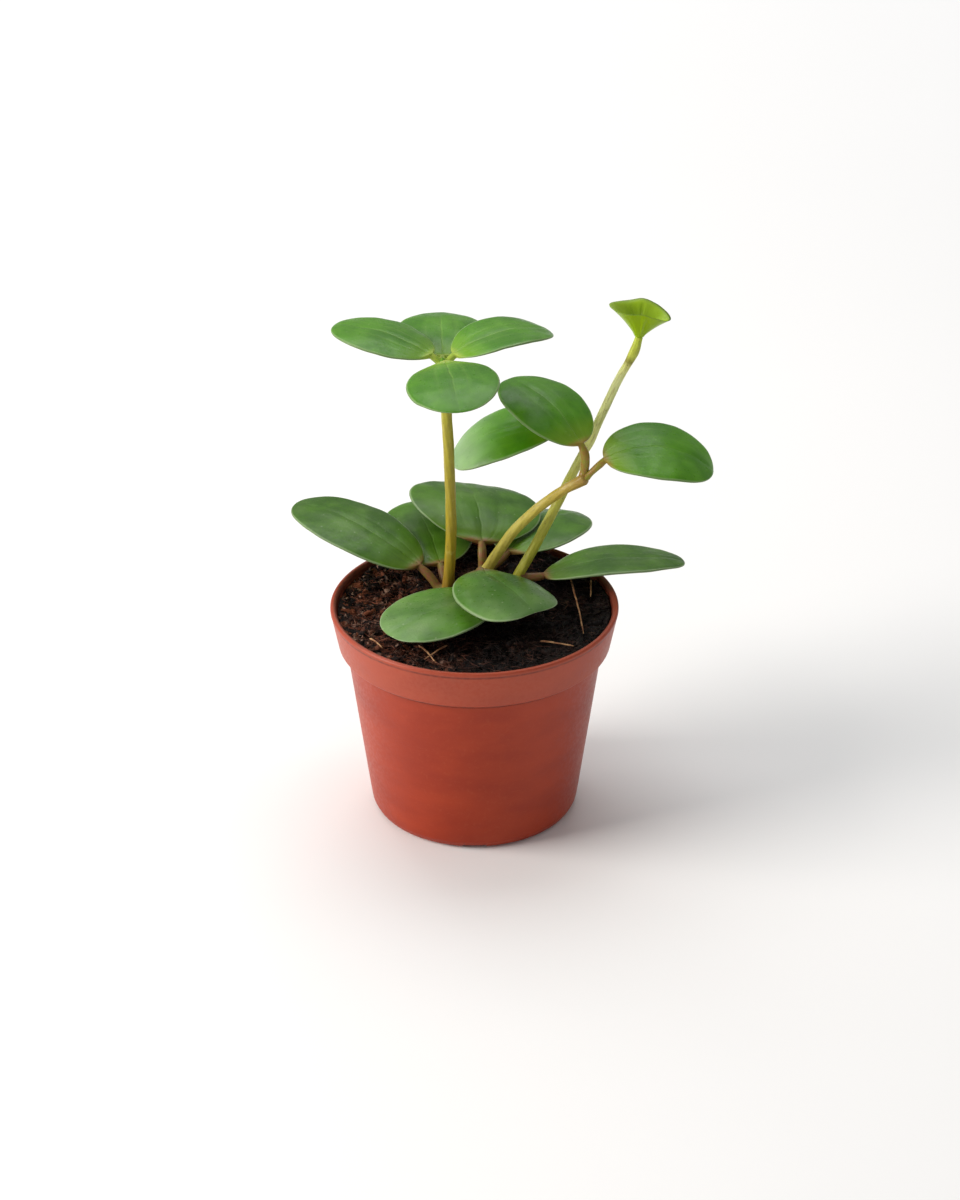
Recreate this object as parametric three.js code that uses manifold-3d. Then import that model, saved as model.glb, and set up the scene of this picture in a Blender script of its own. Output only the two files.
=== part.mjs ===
// Potted peperomia: a small leafy plant of three stems, rooted in potting mix in a moulded nursery pot.
// Millimetres, +Z up. The origin is the middle of the pot's underside, on the surface it stands on.
import * as THREE from 'three';
import { mergeVertices } from 'three/addons/utils/BufferGeometryUtils.js';
import Module from 'manifold-3d';

const wasm = await Module();
wasm.setup();

// ---------------------------------------------------------------- driving dimensions

const GAP = 0.3;                 // clear space between pieces that touch

const POT_HEIGHT = 47;
const RIM_RADIUS = 30;           // outside of the lip
const WALL = 1.2;
const COLLAR_HEIGHT = 8.8;       // the stepped-out band below the lip
const COLLAR_FOOT_RADIUS = 28.4; // outside of the band at its lower edge
const BODY_TOP_RADIUS = 26.8;    // outside of the tapered body, just below the band
const BODY_FOOT_RADIUS = 21.7;   // where the body's taper would meet the ground
const FOOT_RING = { inner: 17.2, outer: 20.3 };
const CENTRE_PAD_RADIUS = 8;
const UNDERSIDE_RECESS = 1.6;    // how far the floor stands clear between the pad and the foot ring
const FLOOR_TOP = 3;
const DRAIN_HOLE = { count: 6, radius: 2.4, circle: 12.6 };
const FOOT_NOTCH = { count: 3, width: 5, height: 1 };
const POT_SEGMENTS = 56;

const MIX_EDGE_HEIGHT = 44.4;    // the potting mix where it meets the wall
const MIX_SEGMENTS = 48;
// Low mounds of the mix: middle, height above the edge and spread.
const MIX_MOUNDS = [
  { x: 4, y: 9, height: 3, spread: 9 },
  { x: 14, y: 19, height: 3.4, spread: 5 },
];

const LEAF_THICKNESS = 1.6;
const PETIOLE_RADIUS = 0.7;
const LEAF_AROUND = 10;          // points around a leaf's section
const BLADE_RINGS = 12;
const PETIOLE_RINGS = 3;
const STEM_AROUND = 8;
const STEM_RINGS = 26;

// ---------------------------------------------------------------- finishes

const finish = (color, roughness) => ({ color, roughness, metalness: 0 });
const FINISHES = {
  pot: finish('#b85a40', 0.5),
  mix: finish('#2a1c17', 1),
  stem: finish('#a39a3c', 0.5),
  youngLeaf: finish('#4f8f3e', 0.4),
  oldLeaf: finish('#4a7a45', 0.45),
  bud: finish('#8fb52c', 0.45),
  coir: finish('#b98a63', 0.9),
};

// ---------------------------------------------------------------- solids

/** Keeps only positions and joins shared vertices, so that the surface is closed. */
function closed(geometry) {
  geometry.deleteAttribute('normal');
  geometry.deleteAttribute('uv');
  return mergeVertices(geometry, 1e-4);
}

function toSolid(geometry) {
  const shell = closed(geometry);
  return new wasm.Manifold(new wasm.Mesh({
    numProp: 3,
    vertProperties: shell.attributes.position.array,
    triVerts: Uint32Array.from(shell.index.array),
  }));
}

function toGeometry(solid) {
  const mesh = solid.getMesh();
  const geometry = new THREE.BufferGeometry();
  geometry.setAttribute('position', new THREE.BufferAttribute(mesh.vertProperties, 3));
  geometry.setIndex(new THREE.BufferAttribute(mesh.triVerts, 1));
  return geometry;
}

function subtractAll(geometry, cutters) {
  return toGeometry(cutters.reduce((solid, cutter) => solid.subtract(toSolid(cutter)), toSolid(geometry)));
}

/** Turns a profile of [radius, height] points about the Z axis. It starts and ends on the axis. */
function revolve(profile, segments) {
  const points = profile.map(([radius, height]) => new THREE.Vector2(radius, height));
  return new THREE.LatheGeometry(points, segments).rotateX(Math.PI / 2);
}

/**
 * A closed body made of rings. place(ring, angle) gives each point.
 * The first and last rings are single points.
 */
function ringBody(ringCount, around, place) {
  const geometry = new THREE.SphereGeometry(1, around, ringCount - 1);
  const position = geometry.attributes.position;
  for (let index = 0; index < position.count; index += 1) {
    const ring = Math.floor(index / (around + 1));
    const angle = (-2 * Math.PI * (index % (around + 1))) / around;
    const point = place(ring, angle);
    position.setXYZ(index, point.x, point.y, point.z);
  }
  return closed(geometry);
}

const degrees = THREE.MathUtils.degToRad;

/** The unit vector at an azimuth about +Z and an elevation above the ground. */
function heading(azimuth, elevation) {
  const level = Math.cos(elevation);
  return new THREE.Vector3(level * Math.cos(azimuth), level * Math.sin(azimuth), Math.sin(elevation));
}

// ---------------------------------------------------------------- pot

/** Outside radius of the tapered body at a height. */
function bodyRadius(height) {
  const bodyHeight = POT_HEIGHT - COLLAR_HEIGHT;
  return THREE.MathUtils.lerp(BODY_FOOT_RADIUS, BODY_TOP_RADIUS, height / bodyHeight);
}

function potProfile() {
  const collarFoot = POT_HEIGHT - COLLAR_HEIGHT;
  const cornerTop = 4.5;
  const innerCorner = 0.8;
  const outside = [
    [0, 0],
    [CENTRE_PAD_RADIUS, 0],
    [CENTRE_PAD_RADIUS + 1, UNDERSIDE_RECESS],
    [FOOT_RING.inner - 0.8, UNDERSIDE_RECESS],
    [FOOT_RING.inner, 0],
    [FOOT_RING.outer, 0],
    [FOOT_RING.outer + 1, 0.6],
    [FOOT_RING.outer + 1.6, 1.8],
    [bodyRadius(cornerTop), cornerTop],
    [bodyRadius(collarFoot - 0.6), collarFoot - 0.6],
    [COLLAR_FOOT_RADIUS - 0.6, collarFoot - 0.1],
    [COLLAR_FOOT_RADIUS, collarFoot + 0.4],
    [RIM_RADIUS - 0.15, POT_HEIGHT - 1],
  ];
  const lip = [
    [RIM_RADIUS, POT_HEIGHT - 0.6],
    [RIM_RADIUS - 0.1, POT_HEIGHT - 0.2],
    [RIM_RADIUS - 0.4, POT_HEIGHT],
    [RIM_RADIUS - WALL + 0.3, POT_HEIGHT],
    [RIM_RADIUS - WALL, POT_HEIGHT - 0.3],
  ];
  const inside = [
    [COLLAR_FOOT_RADIUS - WALL, collarFoot + 1],
    [BODY_TOP_RADIUS - WALL, collarFoot - 0.3],
    [bodyRadius(FLOOR_TOP + innerCorner) - WALL, FLOOR_TOP + innerCorner],
    [bodyRadius(FLOOR_TOP) - WALL - innerCorner, FLOOR_TOP],
    [0, FLOOR_TOP],
  ];
  return [...outside, ...lip, ...inside];
}

function potGeometry() {
  const cutters = [];
  for (let hole = 0; hole < DRAIN_HOLE.count; hole += 1) {
    const drill = new THREE.CylinderGeometry(DRAIN_HOLE.radius, DRAIN_HOLE.radius, 2 * FLOOR_TOP, 16);
    drill.rotateX(Math.PI / 2).translate(DRAIN_HOLE.circle, 0, FLOOR_TOP);
    cutters.push(drill.rotateZ((2 * Math.PI * hole) / DRAIN_HOLE.count));
  }
  for (let notch = 0; notch < FOOT_NOTCH.count; notch += 1) {
    const length = FOOT_RING.outer;
    const slot = new THREE.BoxGeometry(length, FOOT_NOTCH.width, 2 * FOOT_NOTCH.height);
    slot.translate(FOOT_RING.inner - 1 + length / 2, 0, 0);
    cutters.push(slot.rotateZ((2 * Math.PI * (notch + 0.25)) / FOOT_NOTCH.count));
  }
  return subtractAll(revolve(potProfile(), POT_SEGMENTS), cutters);
}

// ---------------------------------------------------------------- potting mix

/** Height of the mix's surface above a point of the ground. */
function mixHeight(x, y) {
  return MIX_MOUNDS.reduce((height, mound) => {
    const squaredDistance = (x - mound.x) ** 2 + (y - mound.y) ** 2;
    return height + mound.height * Math.exp(-squaredDistance / (2 * mound.spread ** 2));
  }, MIX_EDGE_HEIGHT);
}

/** The mound fades out towards the wall, so that the edge stays level. */
function mixSurface(x, y, wallRadius) {
  const reach = THREE.MathUtils.smoothstep(Math.hypot(x, y), wallRadius - 7, wallRadius);
  return THREE.MathUtils.lerp(mixHeight(x, y), MIX_EDGE_HEIGHT, reach);
}

function mixGeometry(rootedStems) {
  const collarFoot = POT_HEIGHT - COLLAR_HEIGHT;
  const bottom = FLOOR_TOP + GAP;
  const wallRadius = 27.9;
  const topRadii = [25.5, 22, 18, 14, 10, 5, 0];
  const profile = [
    [0, bottom],
    [bodyRadius(bottom) - WALL - 1.1 - GAP, bottom],
    [bodyRadius(bottom + 1) - WALL - GAP, bottom + 1],
    [BODY_TOP_RADIUS - WALL - GAP, collarFoot - 0.1],
    [COLLAR_FOOT_RADIUS - WALL - GAP, collarFoot + 1.3],
    [wallRadius, MIX_EDGE_HEIGHT],
    ...topRadii.map((radius) => [radius, MIX_EDGE_HEIGHT]),
  ];
  const geometry = revolve(profile, MIX_SEGMENTS);
  const position = geometry.attributes.position;
  for (let index = 0; index < position.count; index += 1) {
    const [x, y, z] = [position.getX(index), position.getY(index), position.getZ(index)];
    if (z > MIX_EDGE_HEIGHT - 0.01) position.setZ(index, mixSurface(x, y, wallRadius));
  }
  return subtractAll(geometry, rootedStems.map(socketGeometry));
}

// ---------------------------------------------------------------- stems

// Each stem: its route from the buried end to the tip, its radius along it, and the heights of its
// swollen nodes.
const STEMS = [
  {
    name: 'stem_left',
    route: [[-6, 5.2, 37], [-5.6, 5.2, 46.6], [-4.9, 5.2, 58.6], [-4.9, 5.2, 68.1], [-5.6, 5.2, 87.6],
      [-6.3, 5.2, 98.4]],
    radii: [1.2, 1.1, 1.1],
    nodes: [47, 97.6],
  },
  {
    name: 'stem_middle',
    route: [[-2, 10.3, 39.5], [1.6, 9.4, 48], [4.4, 8.6, 53.4], [8.2, 7.6, 59.8], [13.6, 6.1, 66.3],
      [19, 4.7, 71.2], [22.4, 3.9, 73.6]],
    radii: [1.2, 1.1, 1],
    nodes: [48.8, 73.4],
  },
  {
    name: 'stem_right',
    route: [[3.9, 6.9, 39.5], [8.6, 8, 48], [13.8, 9.1, 58], [18.4, 10.5, 67.4], [24.2, 12.8, 79.2],
      [29.5, 13.8, 91.4], [32.6, 14.3, 97.5], [33.5, 14.5, 100.4]],
    radii: [1.1, 1, 0.8],
    nodes: [48.4, 79, 97.2],
  },
];
const NODE_SWELLING = 0.22;
const NODE_REACH = 1.1;
const SOCKET_ROOM = GAP + 0.1;

function stemGeometry({ route, radii, nodes }) {
  const curve = new THREE.CatmullRomCurve3(route.map((point) => new THREE.Vector3(...point)));
  const last = STEM_RINGS - 1;
  return ringBody(STEM_RINGS, STEM_AROUND, (ring, angle) => {
    const along = THREE.MathUtils.clamp((ring - 1) / (last - 2), 0, 1);
    const centre = curve.getPointAt(along);
    if (ring === 0 || ring === last) return centre;
    const tangent = curve.getTangentAt(along);
    const side = new THREE.Vector3(0, 1, 0).cross(tangent).normalize();
    const front = tangent.clone().cross(side);
    const taper = along * (radii.length - 1);
    const step = Math.min(Math.floor(taper), radii.length - 2);
    const swelling = nodes
      .map((height) => Math.exp(-(((centre.z - height) / NODE_REACH) ** 2)))
      .reduce((sum, share) => sum + share, 0);
    const plainRadius = THREE.MathUtils.lerp(radii[step], radii[step + 1], taper - step);
    const radius = plainRadius + NODE_SWELLING * swelling;
    return centre
      .addScaledVector(side, radius * Math.cos(angle))
      .addScaledVector(front, radius * Math.sin(angle));
  });
}

/** What a stem's buried end pushes aside: the stem, thicker all round and a little deeper. */
function socketGeometry({ route, radii, nodes }) {
  const [end, next] = route.map((point) => new THREE.Vector3(...point));
  const deeper = end.clone().addScaledVector(end.clone().sub(next).normalize(), SOCKET_ROOM);
  return stemGeometry({
    route: [deeper.toArray(), ...route],
    radii: radii.map((radius) => radius + SOCKET_ROOM),
    nodes,
  });
}

// ---------------------------------------------------------------- leaves

// Where leaves grow: points on the stems' middles, and how far out of the middle a petiole starts.
const GROWTH_POINTS = {
  leftTip: { at: [-6.3, 5.2, 99.2], clearance: 0.9 },
  leftTopNode: { at: [-6.3, 5.2, 97.5], clearance: 1.8 },
  leftFoot: { at: [-5.6, 5.2, 47.2], clearance: 1.8 },
  middleFoot: { at: [1.8, 9.3, 48.9], clearance: 1.8 },
  middleTip: { at: [23.6, 3.6, 75.1], clearance: 0.9 },
  rightFoot: { at: [8.9, 8.1, 48.6], clearance: 1.8 },
  rightNode: { at: [24.2, 12.8, 78.9], clearance: 1.7 },
  rightTip: { at: [33.6, 14.5, 101.2], clearance: 0.8 },
};

// A leaf in words: it leaves its growth point towards azimuth, with the petiole first turned aside by
// petioleTurn. The petiole climbs at lift. The blade starts at rise, bends down by droop over its length and
// is rolled about its midrib. cup lifts the margins above the midrib, and sweep bends the blade sideways.
// Angles are in degrees.
const PLAIN_LEAF = {
  petiole: 2,
  petioleTurn: 0,
  petioleRadius: PETIOLE_RADIUS,
  lift: 45,
  rise: 15,
  droop: 25,
  roll: 0,
  sweep: 0,
  cup: -0.5,
  widest: 0.5,
  baseFullness: 0.95,
  tipFullness: 0.95,
  thickness: LEAF_THICKNESS,
};

const BUD_LEAF = {
  ...PLAIN_LEAF,
  petiole: 0.8,
  petioleRadius: 0.4,
  lift: 60,
  cup: 1.5,
  baseFullness: 1.4,
  thickness: 0.9,
};

const LEAVES = [
  { name: 'crown_leaf_left', from: 'leftTip', look: 'youngLeaf', azimuth: 155, length: 22, width: 17.5,
    petiole: 1.5, lift: 50, rise: 18, droop: 21, roll: 4, cup: -0.3 },
  { name: 'crown_leaf_back', from: 'leftTopNode', look: 'youngLeaf', azimuth: 92, length: 22, width: 19.5,
    petiole: 2.6, lift: 15, rise: 9, droop: 15 },
  { name: 'crown_leaf_right', from: 'leftTip', look: 'youngLeaf', azimuth: 26, length: 22, width: 17,
    petiole: 1.5, lift: 50, rise: 26, droop: 46, roll: -4, cup: 0.4 },
  { name: 'crown_leaf_front', from: 'leftTip', look: 'youngLeaf', azimuth: -82, length: 22.5, width: 18.5,
    petiole: 2.8, lift: 40, rise: 10, droop: 22, roll: 5 },
  { name: 'mid_leaf_upper', from: 'middleTip', look: 'youngLeaf', azimuth: 133, length: 23, width: 18.5,
    petiole: 6, lift: 98, rise: 40, droop: 40, roll: 3 },
  { name: 'mid_leaf_left', from: 'rightNode', look: 'youngLeaf', azimuth: 175, length: 25.5, width: 16.5,
    petiole: 5, lift: 42, rise: 5, droop: 56, roll: -15, cup: -0.7 },
  { name: 'mid_leaf_right', from: 'middleTip', look: 'youngLeaf', azimuth: 12, length: 24.3, width: 19.5,
    petiole: 3.2, lift: 78, rise: 25, droop: 68, roll: 11, sweep: -14 },
  { name: 'base_leaf_left', from: 'leftFoot', look: 'oldLeaf', azimuth: 150, length: 31.5, width: 19.5,
    petiole: 6, lift: 45, rise: 26, droop: 25, roll: 2, cup: -0.2 },
  { name: 'base_leaf_back_left', from: 'leftFoot', look: 'oldLeaf', azimuth: 104, length: 26, width: 19.5,
    petiole: 5, lift: 40, rise: 15, droop: 20, roll: -3 },
  { name: 'base_leaf_back', from: 'middleFoot', look: 'oldLeaf', azimuth: 93, length: 24.5, width: 29,
    petiole: 5.5, lift: 72, rise: 23, droop: 35, roll: 12, sweep: 12, cup: 0, widest: 0.53 },
  { name: 'base_leaf_back_right', from: 'middleFoot', look: 'oldLeaf', azimuth: 53, length: 24, width: 20,
    petiole: 7, lift: 10, rise: 13, droop: 25, roll: -6, sweep: -4 },
  { name: 'base_leaf_right', from: 'rightFoot', look: 'oldLeaf', azimuth: 5, length: 30, width: 16,
    petiole: 4, lift: -5, rise: 18, droop: 29, roll: -6, cup: 0.3 },
  { name: 'base_leaf_front_left', from: 'rightFoot', look: 'oldLeaf', azimuth: 219, length: 25, width: 20.5,
    petiole: 9.5, petioleTurn: 30, lift: 8, rise: 2, droop: 9, roll: 2 },
  { name: 'base_leaf_front', from: 'middleFoot', look: 'oldLeaf', azimuth: -70, length: 21.5, width: 21,
    petiole: 6.5, petioleTurn: -38, lift: 55, rise: 12, droop: 23, roll: -7, sweep: 22, cup: -2.4,
    widest: 0.52, baseFullness: 0.72, tipFullness: 0.86 },
  { name: 'bud_leaf_left', from: 'rightTip', look: 'bud', azimuth: 183, length: 7.4, width: 4.8,
    rise: 57, droop: 14 },
  { name: 'bud_leaf_back', from: 'rightTip', look: 'bud', azimuth: 76, length: 6, width: 4.6,
    rise: 72, droop: 12 },
  { name: 'bud_leaf_right', from: 'rightTip', look: 'bud', azimuth: -8, length: 5.3, width: 5.2,
    rise: 36, droop: 16 },
  { name: 'bud_leaf_front', from: 'rightTip', look: 'bud', azimuth: -78, length: 5.6, width: 4.2,
    rise: 76, droop: 8 },
].map((leaf) => ({ ...(leaf.look === 'bud' ? BUD_LEAF : PLAIN_LEAF), ...leaf }));

/** Walks a path of small steps from the petiole's start, and returns its points: petiole, then blade. */
function leafPath(leaf) {
  const steps = { petiole: 12, blade: 48 };
  const turn = degrees(leaf.petioleTurn);
  const [lift, rise, droop, sweep] = [leaf.lift, leaf.rise, leaf.droop, leaf.sweep].map(degrees);
  const petioleAim = (along) => [turn * (1 - along) ** 2, THREE.MathUtils.lerp(lift, rise, along ** 2)];
  const bladeAim = (along) => [sweep * along, rise - droop * along];
  const clearance = GROWTH_POINTS[leaf.from].clearance + leaf.petioleRadius * Math.abs(Math.sin(lift));
  const walk = (start, length, count, aim) => {
    const points = [start];
    for (let step = 0; step < count; step += 1) {
      const move = heading(...aim((step + 0.5) / count)).multiplyScalar(length / count);
      points.push(points[step].clone().add(move));
    }
    return points;
  };
  const petiole = walk(heading(turn, 0).multiplyScalar(clearance), leaf.petiole, steps.petiole, petioleAim);
  const blade = walk(petiole[steps.petiole], leaf.length, steps.blade, bladeAim);
  return { petiole, blade, petioleAim, bladeAim };
}

/** A point at a fraction of an evenly stepped path. */
function pointAlong(points, along) {
  const place = along * (points.length - 1);
  const step = Math.min(Math.floor(place), points.length - 2);
  return points[step].clone().lerp(points[step + 1], place - step);
}

/** Half width and half thickness of the blade at a fraction of its length. */
function bladeSection(leaf, along) {
  const shifted = along ** (Math.log(0.5) / Math.log(leaf.widest));
  const oval = Math.max(4 * shifted * (1 - shifted), 0);
  const fullness = THREE.MathUtils.lerp(leaf.baseFullness, leaf.tipFullness, along);
  const petioleRemains = leaf.petioleRadius * Math.max(1 - along / 0.12, 0);
  return {
    halfWidth: Math.max((leaf.width / 2) * oval ** (fullness / 2), petioleRemains),
    halfThickness: Math.max((leaf.thickness / 2) * Math.sqrt(oval), petioleRemains),
  };
}

/** One leaf with its petiole, lying along +X from its growth point. */
function leafGeometry(leaf) {
  const path = leafPath(leaf);
  const roll = degrees(leaf.roll);
  const ringCount = 1 + PETIOLE_RINGS + 1 + BLADE_RINGS;
  return ringBody(ringCount, LEAF_AROUND, (ring, angle) => {
    if (ring === 0) return path.petiole[0].clone();
    const onBlade = ring > PETIOLE_RINGS + 1;
    const along = onBlade
      ? (1 - Math.cos((Math.PI * (ring - PETIOLE_RINGS - 1)) / BLADE_RINGS)) / 2
      : (ring - 1) / PETIOLE_RINGS;
    const centre = pointAlong(onBlade ? path.blade : path.petiole, along);
    const [azimuth, elevation] = onBlade ? path.bladeAim(along) : path.petioleAim(along);
    const tangent = heading(azimuth, elevation);
    const level = new THREE.Vector3(-Math.sin(azimuth), Math.cos(azimuth), 0);
    const rolled = onBlade ? roll : roll * along;
    const across = level.applyAxisAngle(tangent, rolled);
    const upward = tangent.clone().cross(across);
    const section = onBlade
      ? bladeSection(leaf, along)
      : { halfWidth: leaf.petioleRadius, halfThickness: leaf.petioleRadius };
    const aside = section.halfWidth * Math.cos(angle);
    const cupped = onBlade ? leaf.cup * (aside / (leaf.width / 2)) ** 2 : 0;
    const lifted = cupped + section.halfThickness * Math.sin(angle);
    return centre.addScaledVector(across, aside).addScaledVector(upward, lifted);
  });
}

// ---------------------------------------------------------------- coir strands

// Loose coconut fibres lying on the mix: their two ends on the ground plan, and how far one passes
// over another.
const STRAND_RADIUS = 0.3;
const STRAND_RINGS = 9;
const STRAND_AROUND = 6;
const STRANDS = [
  { from: [20, 13], to: [22.4, -11.2] },
  { from: [24.6, 11], to: [24.2, 4.5] },
  { from: [13.4, -13.3], to: [20.3, -16.6] },
  { from: [-11.5, -14.9], to: [-7.6, -22.6] },
  { from: [-5.4, -16.6], to: [-10, -23.6], over: 1 },
  { from: [-21.4, -12.9], to: [-18.6, -17] },
];

function strandGeometry({ from: start, to: end, over = 0 }) {
  const last = STRAND_RINGS - 1;
  const spread = Math.hypot(end[0] - start[0], end[1] - start[1]);
  return ringBody(STRAND_RINGS, STRAND_AROUND, (ring, angle) => {
    const along = THREE.MathUtils.clamp((ring - 1) / (last - 2), 0, 1);
    const x = THREE.MathUtils.lerp(start[0], end[0], along);
    const y = THREE.MathUtils.lerp(start[1], end[1], along);
    const arch = 0.06 * spread * Math.sin(Math.PI * along);
    const centre = new THREE.Vector3(x, y, mixHeight(x, y) + 2 * STRAND_RADIUS + GAP + arch + over);
    if (ring === 0 || ring === last) return centre;
    const direction = new THREE.Vector3(end[0] - start[0], end[1] - start[1], 0).normalize();
    const side = new THREE.Vector3(-direction.y, direction.x, 0);
    return centre
      .addScaledVector(side, STRAND_RADIUS * Math.cos(angle))
      .addScaledVector(new THREE.Vector3(0, 0, 1), STRAND_RADIUS * Math.sin(angle));
  });
}

// ---------------------------------------------------------------- assembly

function piece(name, geometry, look) {
  const mesh = new THREE.Mesh(geometry, new THREE.MeshStandardMaterial(FINISHES[look]));
  mesh.name = name;
  return mesh;
}

const plant = new THREE.Group();
plant.add(piece('pot', potGeometry(), 'pot'));
plant.add(piece('potting_mix', mixGeometry(STEMS), 'mix'));
STEMS.forEach((stem) => plant.add(piece(stem.name, stemGeometry(stem), 'stem')));
LEAVES.forEach((leaf) => {
  const mesh = piece(leaf.name, leafGeometry(leaf), leaf.look);
  mesh.position.set(...GROWTH_POINTS[leaf.from].at);
  mesh.rotation.z = degrees(leaf.azimuth);
  plant.add(mesh);
});
STRANDS.forEach((strand, index) => {
  plant.add(piece(`coir_strand_${index + 1}`, strandGeometry(strand), 'coir'));
});

export default plant;
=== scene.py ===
"""A potted peperomia: three leafy stems rooted in potting mix in a moulded nursery pot.

The plant's leaves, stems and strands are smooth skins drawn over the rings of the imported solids. The pot is
turned from its own profile, and the potting mix is a heap of crumbs and fibres.
"""

import logging
import math
import random
from dataclasses import dataclass, field
from enum import Enum
from typing import Any, Callable, Optional, Sequence

import bmesh
import bpy
import numpy as np
from mathutils import Matrix, Vector, noise


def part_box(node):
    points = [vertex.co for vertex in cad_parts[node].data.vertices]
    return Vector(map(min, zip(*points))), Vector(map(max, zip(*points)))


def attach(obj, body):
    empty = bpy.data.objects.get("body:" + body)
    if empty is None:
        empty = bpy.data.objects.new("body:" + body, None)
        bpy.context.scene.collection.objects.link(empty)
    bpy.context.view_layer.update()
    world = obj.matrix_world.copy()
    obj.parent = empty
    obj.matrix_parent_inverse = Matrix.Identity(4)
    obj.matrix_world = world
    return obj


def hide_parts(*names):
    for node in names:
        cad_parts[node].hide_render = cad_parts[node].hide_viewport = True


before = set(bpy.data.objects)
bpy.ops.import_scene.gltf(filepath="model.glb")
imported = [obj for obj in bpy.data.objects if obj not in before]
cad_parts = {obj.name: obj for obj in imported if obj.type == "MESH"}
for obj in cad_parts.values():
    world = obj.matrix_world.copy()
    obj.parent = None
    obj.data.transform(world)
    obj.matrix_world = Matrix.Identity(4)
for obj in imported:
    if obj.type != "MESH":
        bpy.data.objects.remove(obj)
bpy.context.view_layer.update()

MM = 0.001
TINY = 1e-9
ANY_TURN = 6.3  # A little over a full turn, in radians.
BODY = "root"
log = logging.getLogger("peperomia")


# ---------------------------------------------------------------- small tools


class Slot(Enum):
    """Names of the material slots."""

    POT = "pot_plastic"
    MIX = "potting_mix"
    STEM = "stem"
    YOUNG_LEAF = "young_leaf"
    OLD_LEAF = "old_leaf"
    BUD_LEAF = "bud_leaf"
    COIR = "coir"


def linear(hex_colour: str) -> tuple[float, float, float, float]:
    """Turns an sRGB hex colour to linear light.

    Args:
        hex_colour: Six hex digits with a leading #.

    Returns:
        Red, green, blue and an alpha of 1.
    """
    parts = [int(hex_colour[start : start + 2], 16) / 255 for start in (1, 3, 5)]
    toe, slope, offset, power = 0.04045, 12.92, 0.055, 2.4
    red, green, blue = (
        part / slope if part <= toe else ((part + offset) / (1 + offset)) ** power for part in parts
    )
    return red, green, blue, 1.0


def smooth_step(value: np.ndarray, low: float, high: float) -> np.ndarray:
    """Rises smoothly from 0 at low to 1 at high.

    Args:
        value: The numbers to map.
        low: Where the rise starts.
        high: Where the rise ends.

    Returns:
        The mapped numbers.
    """
    share = np.clip((value - low) / (high - low), 0, 1)
    return share * share * (3 - 2 * share)


def ripple(points: np.ndarray, wavelength: float, shift: float) -> np.ndarray:
    """Soft random noise over points in space.

    Args:
        points: An array of positions in metres.
        wavelength: Rough size of one swell, in metres.
        shift: Moves the pattern, so that each piece has its own.

    Returns:
        One number from about -1 to 1 for each point.
    """
    offset = Vector((shift, 2 * shift, -shift))
    return np.array([noise.noise(Vector(point) / wavelength + offset) for point in points])


def add_node(
    tree: bpy.types.NodeTree,
    kind: str,
    inputs: Optional[dict[Any, Any]] = None,
    stops: Sequence[tuple[float, str]] = (),
    **settings: Any,
) -> bpy.types.Node:
    """Adds a node with its settings and links.

    Args:
        tree: The tree that gets the node.
        kind: The node's type, such as "ShaderNodeTexNoise".
        inputs: For each input, by name or number, a value or the socket that feeds it.
        stops: Places and hex colours of a colour ramp.
        **settings: The node's own settings.

    Returns:
        The new node.
    """
    node = tree.nodes.new(kind)
    for name, value in settings.items():
        setattr(node, name, value)
    for key, value in (inputs or {}).items():
        if isinstance(value, bpy.types.NodeSocket):
            tree.links.new(value, node.inputs[key])
        else:
            node.inputs[key].default_value = value
    if stops:
        elements = node.color_ramp.elements
        while len(elements) < len(stops):
            elements.new(0.5)
        for element, (place, colour) in zip(elements, stops):
            element.position = place
            element.color = linear(colour)
    return node


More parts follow.
